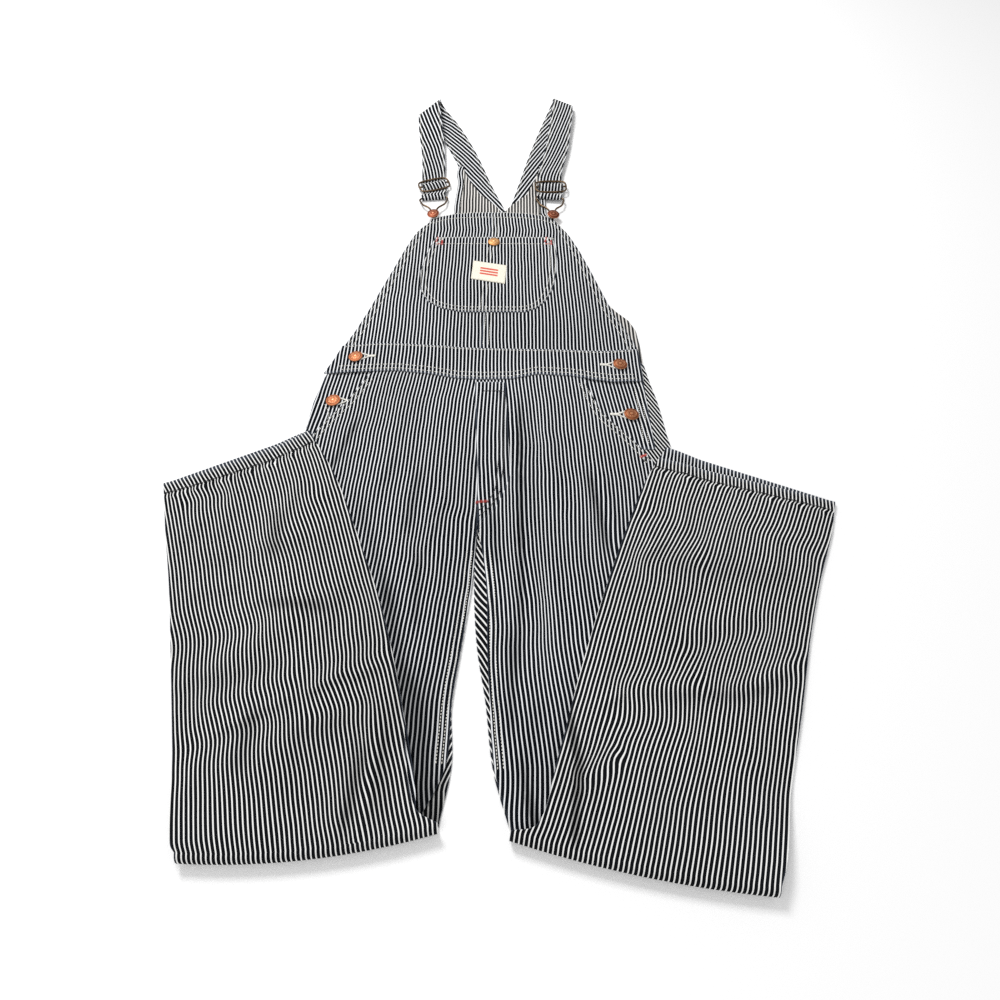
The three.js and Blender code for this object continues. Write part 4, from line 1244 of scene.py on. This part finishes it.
def tube(points, closed, steps, sides=12):
    """Points and faces of a round wire along a smooth curve."""
    line = catmull(points, np.linspace(0, 1, steps, endpoint=not closed), closed)
    if closed:
        ahead = unit(np.roll(line, -1, axis=0) - np.roll(line, 1, axis=0))
    else:
        ahead = unit(np.gradient(line, axis=0))
    side = unit(np.cross(ahead, UP))
    rings = rings_round(line, side, np.cross(side, ahead), WIRE, sides)
    faces = ring_faces(steps, sides, closed, inward=True).tolist()
    if not closed:
        faces.append(list(range(sides)))
        faces.append([(steps - 1) * sides + j for j in range(sides)][::-1])
    return rings.reshape(-1, 3), faces


def wire_piece(kind, side, parts):
    """A few tubes as one piece."""
    faces, start = [], 0
    for points, quads in parts:
        faces.extend([[k + start for k in face] for face in quads])
        start += len(points)
    make(kind + "_" + side + "_wire", np.vstack([points for points, quads in parts]), faces, BRASS,
         node=kind + "_" + side)


def slide(side):
    h = HARDWARE[side]
    a, b, r = SLIDE["width"] / 2, SLIDE["height"] / 2, SLIDE["round"]
    corners = [(-a + r, b), (a - r, b), (a, b - r), (a, -b + r), (a - r, -b), (-a + r, -b), (-a, -b + r),
               (-a, b - r)]

    def place(x, y):
        dx, dy = turned_by(x, y, h["slide_turn"])
        return h["slide"][0] + dx, h["slide"][1] + dy, h["rest"] + SLIDE_LIFT

    rim = tube([place(*corner) for corner in corners], True, 128)
    wire_piece("slide", side, [rim, tube([place(x, 0) for x in (-a, 0, a)], False, 12)])


def buckle(side):
    h = HARDWARE[side]
    z_eye = float(front_top(*h["button"])) + 2 * SEAM + WIRE
    a, neck, eye = BUCKLE["width"] / 2, BUCKLE["neck"], BUCKLE["eye"]
    long = h["bar"][1] - h["button"][1]
    half = [
        (0, 0), (a - 3, 0), (a, 0.07), (a - 1, BUCKLE["drop"] / long), (BUCKLE["shoulder"], 0.42),
        (neck + 3, 0.62), (neck, 0.76), (eye, 0.93), (eye * 0.9, 1.06), (0, 1 + eye / long),
    ]

    def place(x, t):
        dx, dy = turned_by(x, 0, h["bar_turn"] * (1 - t))
        z = mix(h["rest"] + BEND, z_eye, float(smooth((t - 0.08) / 0.5)))
        return mix(h["bar"][0], h["button"][0], t) + dx, mix(h["bar"][1], h["button"][1], t) + dy, z

    loop = [place(x, t) for x, t in half] + [place(-x, t) for x, t in reversed(half[1:-1])]
    wire_piece("buckle", side, [tube(loop, True, 220)])


def button(node, x, y, seat, shank, cap=CAP_RADIUS, lean=(0, 0), metal=COPPER):
    """A pressed cap with a rolled rim, a shallow groove and a low crown, on a shank."""
    profile = [(SHANK_RADIUS, 0), (SHANK_RADIUS, shank)]
    profile += [(cap - inset, shank + high) for inset, high in CAP_RIM]
    profile += [(cap * share, shank + high) for share, high in CAP_CROWN]
    sides, levels = 64, len(profile)
    angle = np.linspace(0, 2 * math.pi, sides, endpoint=False)
    rings = [np.column_stack([r * np.cos(angle), r * np.sin(angle), np.full(sides, z)]) for r, z in profile]
    local = np.vstack([[0, 0, 0], *rings, [0, 0, shank + CAP_HIGH]])
    faces = (ring_faces(levels, sides) + 1).tolist()
    last = 1 + (levels - 1) * sides
    for j in range(sides):
        after = (j + 1) % sides
        faces.append([0, 1 + after, 1 + j])
        faces.append([last + j, last + after, len(local) - 1])
    step = SHANK_RADIUS
    slope_x = float(seat(x + step, y) - seat(x - step, y)) / (2 * step)
    slope_y = float(seat(x, y + step) - seat(x, y - step)) / (2 * step)
    normal = unit(np.array([-slope_x + lean[0], -slope_y + lean[1], 1.0]))
    side = unit(np.cross([0, 1.0, 0], normal))
    base = np.array([x, y, float(seat(x, y))]) + normal * SEAM
    points = base + local[:, :1] * side + local[:, 1:2] * np.cross(normal, side) + local[:, 2:] * normal
    make(node + "_cap", points, faces, metal, local[:, :2], corner=60, node=node)


# Sewing
sewing = {"white": [], "dark": [], "red": []}


def add_stitches(colour, a, b, thick, lift):
    """A plump stitch from each place of a to the same one of b."""
    long = np.linalg.norm(b - a, axis=1)[:, None]
    ahead = unit(b - a)
    side = unit(np.cross(ahead, UP))
    up = np.cross(side, ahead)
    rings = []
    for share, width, rise in STITCH:
        centre = a + ahead * long * share + up * (lift + rise * thick * 0.5)
        rings.append(rings_round(centre, side, up, thick * width, 6))
    sewing[colour].append(np.stack(rings, axis=1))


def stitches(colour, line, lift, pitch=3.2, share=0.66, thick=0.46):
    """A row of stitches along a line of surface points."""
    steps = np.linalg.norm(np.diff(line, axis=0), axis=1)
    length = np.concatenate([[0], np.cumsum(steps)])
    count = max(int(length[-1] / pitch), 1)
    start = (np.arange(count) + 0.5 - share / 2) * length[-1] / count
    end = start + share * length[-1] / count
    a, b = (stacked(*(np.interp(far, length, line[:, k]) for k in range(3))) for far in (start, end))
    add_stitches(colour, a, b, thick, lift)


def sew(colour):
    """All the stitches of one thread as one piece."""
    rings = np.concatenate(sewing[colour])
    count, levels, sides = rings.shape[:3]
    starts = np.arange(count)[:, None] * levels * sides
    faces = (ring_faces(levels, sides, inward=True)[None] + starts[..., None]).reshape(-1, 4).tolist()
    faces += (np.arange(sides) + starts).tolist()
    faces += (np.arange(sides)[::-1] + (levels - 1) * sides + starts).tolist()
    make("sewing_" + colour, rings.reshape(-1, 3), faces, THREADS[colour], corner=80)


def on(surface, x, y):
    """Surface points at drawing places."""
    return stacked(x, y, surface(x, y))


def seam(rows, name, *heights, out=0.0):
    """Places down one side of a table."""
    return [(column(rows, name, y) + out, y) for y in heights]


def row(colour, surface, points, insets, lift, **more):
    """Rows of stitches beside a smooth line of drawing places, each set in by so much to its right."""
    line = catmull(points, np.linspace(0, 1, 120))
    ahead = unit(np.gradient(line, axis=0))
    for inset in insets:
        x, y = line[:, 0] + ahead[:, 1] * inset, line[:, 1] - ahead[:, 0] * inset
        stitches(colour, on(surface, x, y), lift, **more)


def bar_tack(colour, surface, x, y, turn, long, wide):
    """A short dense bar of stitches across a line."""
    ahead = np.array([math.cos(turn), math.sin(turn)])
    centre = np.array([x, y]) + np.linspace(-long / 2, long / 2, 15)[:, None] * ahead
    across = np.array([-ahead[1], ahead[0]]) * wide / 2 + TACK_LEAN * ahead
    a, b = centre - across, centre + across
    add_stitches(colour, on(surface, a[:, 0], a[:, 1]), on(surface, b[:, 0], b[:, 1]), 0.3, 0.25)


def keyhole(surface, x, y, toward):
    """A keyhole buttonhole: two lines that open round the shank, and a tail."""
    start = x + toward * (CAP_RADIUS - 2.5)
    middle = start + toward * KEY_LONG
    for lean in (-1, 1):
        a_x = np.linspace(start, middle, 14)
        a_y = np.linspace(y + lean * 5.4, y + lean * 1.0, 14)
        add_stitches("white", on(surface, a_x, a_y - 1.2), on(surface, a_x + toward * 0.5, a_y + 1.2),
                     KEY_THICK, 0.5)
    tail = np.linspace(middle, start + toward * 2 * KEY_LONG, 15)
    add_stitches("white", on(surface, tail, y - 1.9), on(surface, tail, y + 1.9), KEY_THICK, 0.5)


# Cloth pieces
def tip(v, s):
    """The bib's top edge falls away to its corner at s = 1."""
    return -14 * (1 - smooth(v * 19 / 4)) * s**2.2


patch("bib_left_cloth", "bib_left", edge(BODY, "left"), edge(BODY, "centre", -SEAM / 2),
      BIB_TOP, WAIST_JOIN, front_height, 120, 60, lambda v, s: tip(v, 1 - s))
patch("bib_right_cloth", "bib_right", edge(BODY, "centre", SEAM / 2), edge(BODY, "right"),
      BIB_TOP, WAIST_JOIN, front_height, 120, 60, tip)
patch("back_left_cloth", "back_upper_left", edge(BACK, "left"), edge(BACK, "leftIn"),
      BACK_TOP, WAIST_JOIN, back_under, 90, 30, material=BACKING)
patch("back_right_cloth", "back_upper_right", edge(BACK, "rightIn"), edge(BACK, "right"),
      BACK_TOP, WAIST_JOIN, back_under, 90, 30, material=BACKING)


def armhole_hem(side, sign):
    """The turned edge of the back beside the armhole, its stripes running along it."""
    wide = 9.5
    v, s = share_grid(60, 12, 0.01, 0.06)
    y = mix(436, 296, v)
    x = column(BACK, side, y) + sign * (s * wide - 0.2 - 5.0 * bell((y - 418) / 22))
    base = np.maximum(back_top(x, y) + 0.05, 0)
    soft = 0.3 * bell(from_edge(v, s, 140, wide) / 0.7)
    wall("armhole_hem_" + side, stacked(x, y, base + 0.75 - soft), stacked(x, y, base), STRAP,
         stacked(s * wide + 0.9, y))


armhole_hem("left", 1)
armhole_hem("right", -1)
patch("facing_left_cloth", "hip_facing_left", edge(BODY, "left", 0.5), edge(LEFT_THIGH, "fo", FACING_LAP),
      WAIST_JOIN, -142, facing_under, 50, 30, grain=-0.12)
patch("facing_right_cloth", "hip_facing_right", edge(RIGHT_THIGH, "fo", -FACING_LAP),
      edge(BODY, "right", -0.5), WAIST_JOIN, -166, facing_under, 50, 30, grain=0.12)


def band_edge(name, x):
    return np.interp(x, BAND["x"], BAND[name])


def waistband():
    v, s = share_grid(26, 170, 0.02, 0.006)
    level = mix(7, -50, v)
    left, right = column(BODY, "left", level), column(BODY, "right", level)
    x = mix(left, right, s)
    high, low = band_edge("high", x), band_edge("low", x)
    y = mix(high, low, v)
    panel("waistband_cloth", "waistband", x, y, from_edge(v, s, high - low, right - left), band_under(x, y),
          BAND_WALL, hem=0.2, shift=-1.5)


waistband()


def fly_right(y):
    curve = np.sqrt(np.clip((y - FLY["low"]) / FLY["curve"], 0.02, 1))
    return column(BODY, "centre", y) + FLY["wide"] * curve


def fly_lay(x, y):
    """The fly sinks onto the cloth beside it at its edges."""
    near = np.minimum(fly_right(y) - x, x - column(BODY, "centre", y) + 4)
    return band_under(x, y) + 0.5 - 1.35 * (1 - smooth(near / 9))


fly_top = above(fly_lay, FLY["thick"])
patch("fly_cloth", "fly", edge(BODY, "centre", 0.4), fly_right, FLY["top"] - 4, FLY["low"], fly_lay, 90, 30,
      thick=FLY["thick"], hem=0.0, shift=1.4, sway=FLY_SWAYS)
patch("bib_pocket_cloth", "bib_pocket", edge(POCKET, "left"), edge(POCKET, "right"), 240, 72, band_under,
      70, 80, shift=2.1)


def label_place(a, b):
    across, up = turned_by(a, 0, LABEL["turn"]), turned_by(0, b, LABEL["lean"])
    return LABEL["x"] + across[0] + up[0], LABEL["y"] + across[1] + up[1]


def label():
    v, s = share_grid(20, 24, 0.02, 0.02)
    a, b = (s - 0.5) * LABEL["width"], (0.5 - v) * LABEL["height"]
    x, y = label_place(a, b)
    base = label_under(x, y)
    near = np.minimum(LABEL["width"] / 2 - np.abs(a), LABEL["height"] / 2 - np.abs(b))
    top = base + 1 - 0.35 * bell(near / 0.6)
    wall("label_tape_piece", stacked(x, y, top), stacked(x, y, base), LABEL_TAPE, stacked(a, b), node="label")


label()
for each_side in LEGS:
    leg_panel(each_side, True)
    leg_panel(each_side, False)
straps = {}
for each_side in LEGS:
    straps[each_side] = strap(each_side)
    slide(each_side)
    buckle(each_side)
    button("bib_button_" + each_side, *HARDWARE[each_side]["button"], front_top, 2 * WIRE + 4 * SEAM,
           lean=(0, -0.14), metal=COPPER_OLD)
for each_name, each_place in BUTTONS.items():
    button(each_name, *each_place, band_top if each_name.startswith("waist") else facing_top, 1.4)
button("pocket_snap", *SNAP, pocket_top, 0.6, SNAP_RADIUS, metal=COPPER_GOLD)

# Rows of stitches
for corner_x, sign in ((-101, 1), (89, -1)):
    for drop in (2.5, 14.5):
        top_line = [(corner_x + 3 * sign, 291 - drop), (corner_x + 22 * sign, 299 - drop),
                    (corner_x + 50 * sign, 303 - drop), (-8 - sign * 0.5, 304 - drop)]
        row("white", front_top, top_line, [0], 0.3)
row("white", front_top, seam(BODY, "left", 288, 265, 217, 170, 126, 83, 43, 12), [-4.5, -11.5], 0.3)
row("white", front_top, seam(BODY, "right", 288, 265, 217, 170, 126, 83, 43, 6), [4.5, 11.5], 0.3)
row("white", front_top, seam(BODY, "centre", 297, 250, 170, 126, 83, 43, 8), [-2.2, -9.5], 0.3, share=0.6)
row("white", pocket_top, POCKET_ROW, [-2.4, -9.0], 0.35)
row("white", pocket_top, [(-90, 237.5), (-4, 237.5), (82, 237.5)], [0, 14.5], 0.3)
row("white", pocket_top, [(-9, 214), (-12, 182)], [-3.2, 3.2], 0.12)
row("white", pocket_top, [(-15, 131), (-19, 76)], [-3.2, 3.2], 0.12)
label_corners = [(-23.6, 19.6), (23.6, 19.6), (23.6, -19.6), (-23.6, -19.6), (-23.6, 19.6)]
for start, end in zip(label_corners, label_corners[1:]):
    row("white", label_under, [label_place(*start), label_place(*end)], [0], 1.1, pitch=2.0, thick=0.24)
band_x = np.linspace(-202, 183, 200)
band_rows = (("high", band_x, -3.5, 0.3), ("low", band_x, 3.5, 0.3), ("low", band_x - 4, 10.5, 0.15))
for name, x, out, lift in band_rows:
    stitches("white", on(band_top, x, band_edge(name, x) + out), lift)
left_opening = seam(LEFT_THIGH, "fo", -50, -70, -90, -118, -142, -158)
right_opening = seam(RIGHT_THIGH, "fo", -60, -75, -90, -118, -142, -165, -184)
row("white", front_top, left_opening, [-2.6, -8.6], 0.15)
row("white", front_top, right_opening, [2.6, 8.6], 0.15)
row("white", facing_top, [(-216.7, -93.5), (-209, -112), (-211, -124)], [0], 0.15)
row("white", facing_top, [(184, -64), (186, -110), (186, -158)], [0, 6], 0.15)
fly_style = {"pitch": 2.6, "thick": 0.6, "share": 0.8}
row("dark", fly_top, [(-16.6, -78.2), (11, -78.2)], [0], 0.3, **fly_style)
fly_curve = [(10.5, -78.2), (10, -157), (7.5, -212), (4, -236), (-8, -257), (-19, -267)]
row("dark", fly_top, fly_curve, [0, 6], 0.3, **fly_style)
row("white", front_top, seam(BODY, "centre", -276, -300), [-3], 0.1)
row("white", front_top, seam(LEFT_THIGH, "fi", -310, -360, -420, -480, -540), [3.0, 8.5], 0.12)
row("white", front_top, seam(RIGHT_THIGH, "fi", -310, -365, -425, -480, -545), [-3.0, -8.5], 0.12)
for each_leg in LEGS.values():
    s = np.linspace(0.01, 0.99, 160)
    t = np.full(160, hem_share(each_leg) + 0.004)
    x, y, z = shin_place(each_leg, True, t, s)
    hem_line = stacked(x, y, z + puckers(each_leg, t, s) + WALL + HEM_RISE)
    stitches("dark", hem_line, 0.15, pitch=3.4, thick=0.55, share=0.8)


def strap_stitches(top, low, normal, s, share):
    """A row near a strap's edge, on the face that shows, with breaks where the strap turns down."""
    facing = normal[:, normal.shape[1] // 2, 2]
    upper, lower = (np.array([[np.interp(share, s, places[:, axis]) for axis in range(3)] for places in grid])
                    for grid in (top, low))
    shown = np.where((facing > 0)[:, None], upper, lower)
    flat = np.abs(facing) > 0.55
    flat[:12] = False
    flat[int(len(flat) * 0.80) - 1:] = False
    turns = np.flatnonzero(np.diff(flat.astype(int))) + 1
    for start, end in zip(turns[::2], turns[1::2]):
        if end - start > 6:
            stitches("white", shown[start:end], 0.1)


for each_strap in straps.values():
    for share in (3.2 / STRAP_WIDTH, 1 - 3.2 / STRAP_WIDTH):
        strap_stitches(*each_strap, share)
for each_side, sign in (("left", 1), ("right", -1)):
    arm = seam(BACK, each_side, 415, 392, 357, 325, 306, out=sign * 3.0)
    row("white", back_top, arm, [0, -6 * sign], 0.3)
for x, sign in ((-86, 1), (78, -1)):
    bar_tack("red", pocket_top, x - 4, 234, 1.35, 12, 3.0)
    bar_tack("red", pocket_top, x + 4, 227, 1.6, 11, 3.0)
    bar_tack("red", pocket_top, x, 224, 0.1, 10, 2.6)
    bar_tack("white", pocket_top, x, 230, 0.9 * sign, 15, 2.4)
    bar_tack("white", pocket_top, x + 1, 237, 0.0, 13, 2.0)
bar_tack("red", fly_top, -15.5, -248, 0.05, 14, 4.2)
bar_tack("red", front_top, 177, -178, 0.5, 9, 3.4)
bar_tack("dark", front_top, 179, -183, 0.9, 8, 2.4)
keyhole(band_top, -185, -14.5, 1)
keyhole(facing_top, -206, -90, 1)
keyhole(band_top, 162, -30.4, -1)
keyhole(facing_top, 169, -112.5, -1)
for each_colour in sewing:
    sew(each_colour)

# Floor, light and picture
floor_mesh = bpy.data.meshes.new("floor")
floor_corners = [(x, y, -0.0006) for x, y in ((-6, -6), (6, -6), (6, 6), (-6, 6))]
floor_mesh.from_pydata(floor_corners, [], [(0, 1, 2, 3)])
floor_shade = Shade("pale_floor")
floor_shade.surface((0.93, 0.93, 0.93, 1), 0.9, specular=0.1)
floor_mesh.materials.append(floor_shade.material)
placed("floor", floor_mesh)


def soft_light(name, place, turn, size, power):
    data = bpy.data.lights.new(name, "AREA")
    data.shape = "SQUARE"
    data.size = size
    data.energy = power
    lamp = placed(name, data)
    lamp.location = place
    lamp.rotation_euler = [math.radians(v) for v in turn]


soft_light("overhead", (-0.9, 1.3, 1.9), (-34, -25, 0), 0.8, 46)
soft_light("near_side", (-0.5, -1.5, 2.0), (34, -12, 0), 1.4, 15)
world = bpy.data.worlds.new("studio")
world.use_nodes = True
background = world.node_tree.nodes["Background"]
background.inputs["Color"].default_value = (1, 1, 1, 1)
background.inputs["Strength"].default_value = 0.53
scene.world = world
scene.view_settings.view_transform = "Standard"
scene.view_settings.look = "None"
scene.view_settings.exposure = 0.0
scene.cycles.use_denoising = False

# The camera, where the photograph was taken from
camera = placed("camera", bpy.data.cameras.new("camera"))
camera.location = (0.004, -0.73062, 0.713)
camera.rotation_euler = (math.radians(34.8), 0, 0)
camera.data.lens = 27
camera.data.sensor_width = 36
scene.camera = camera
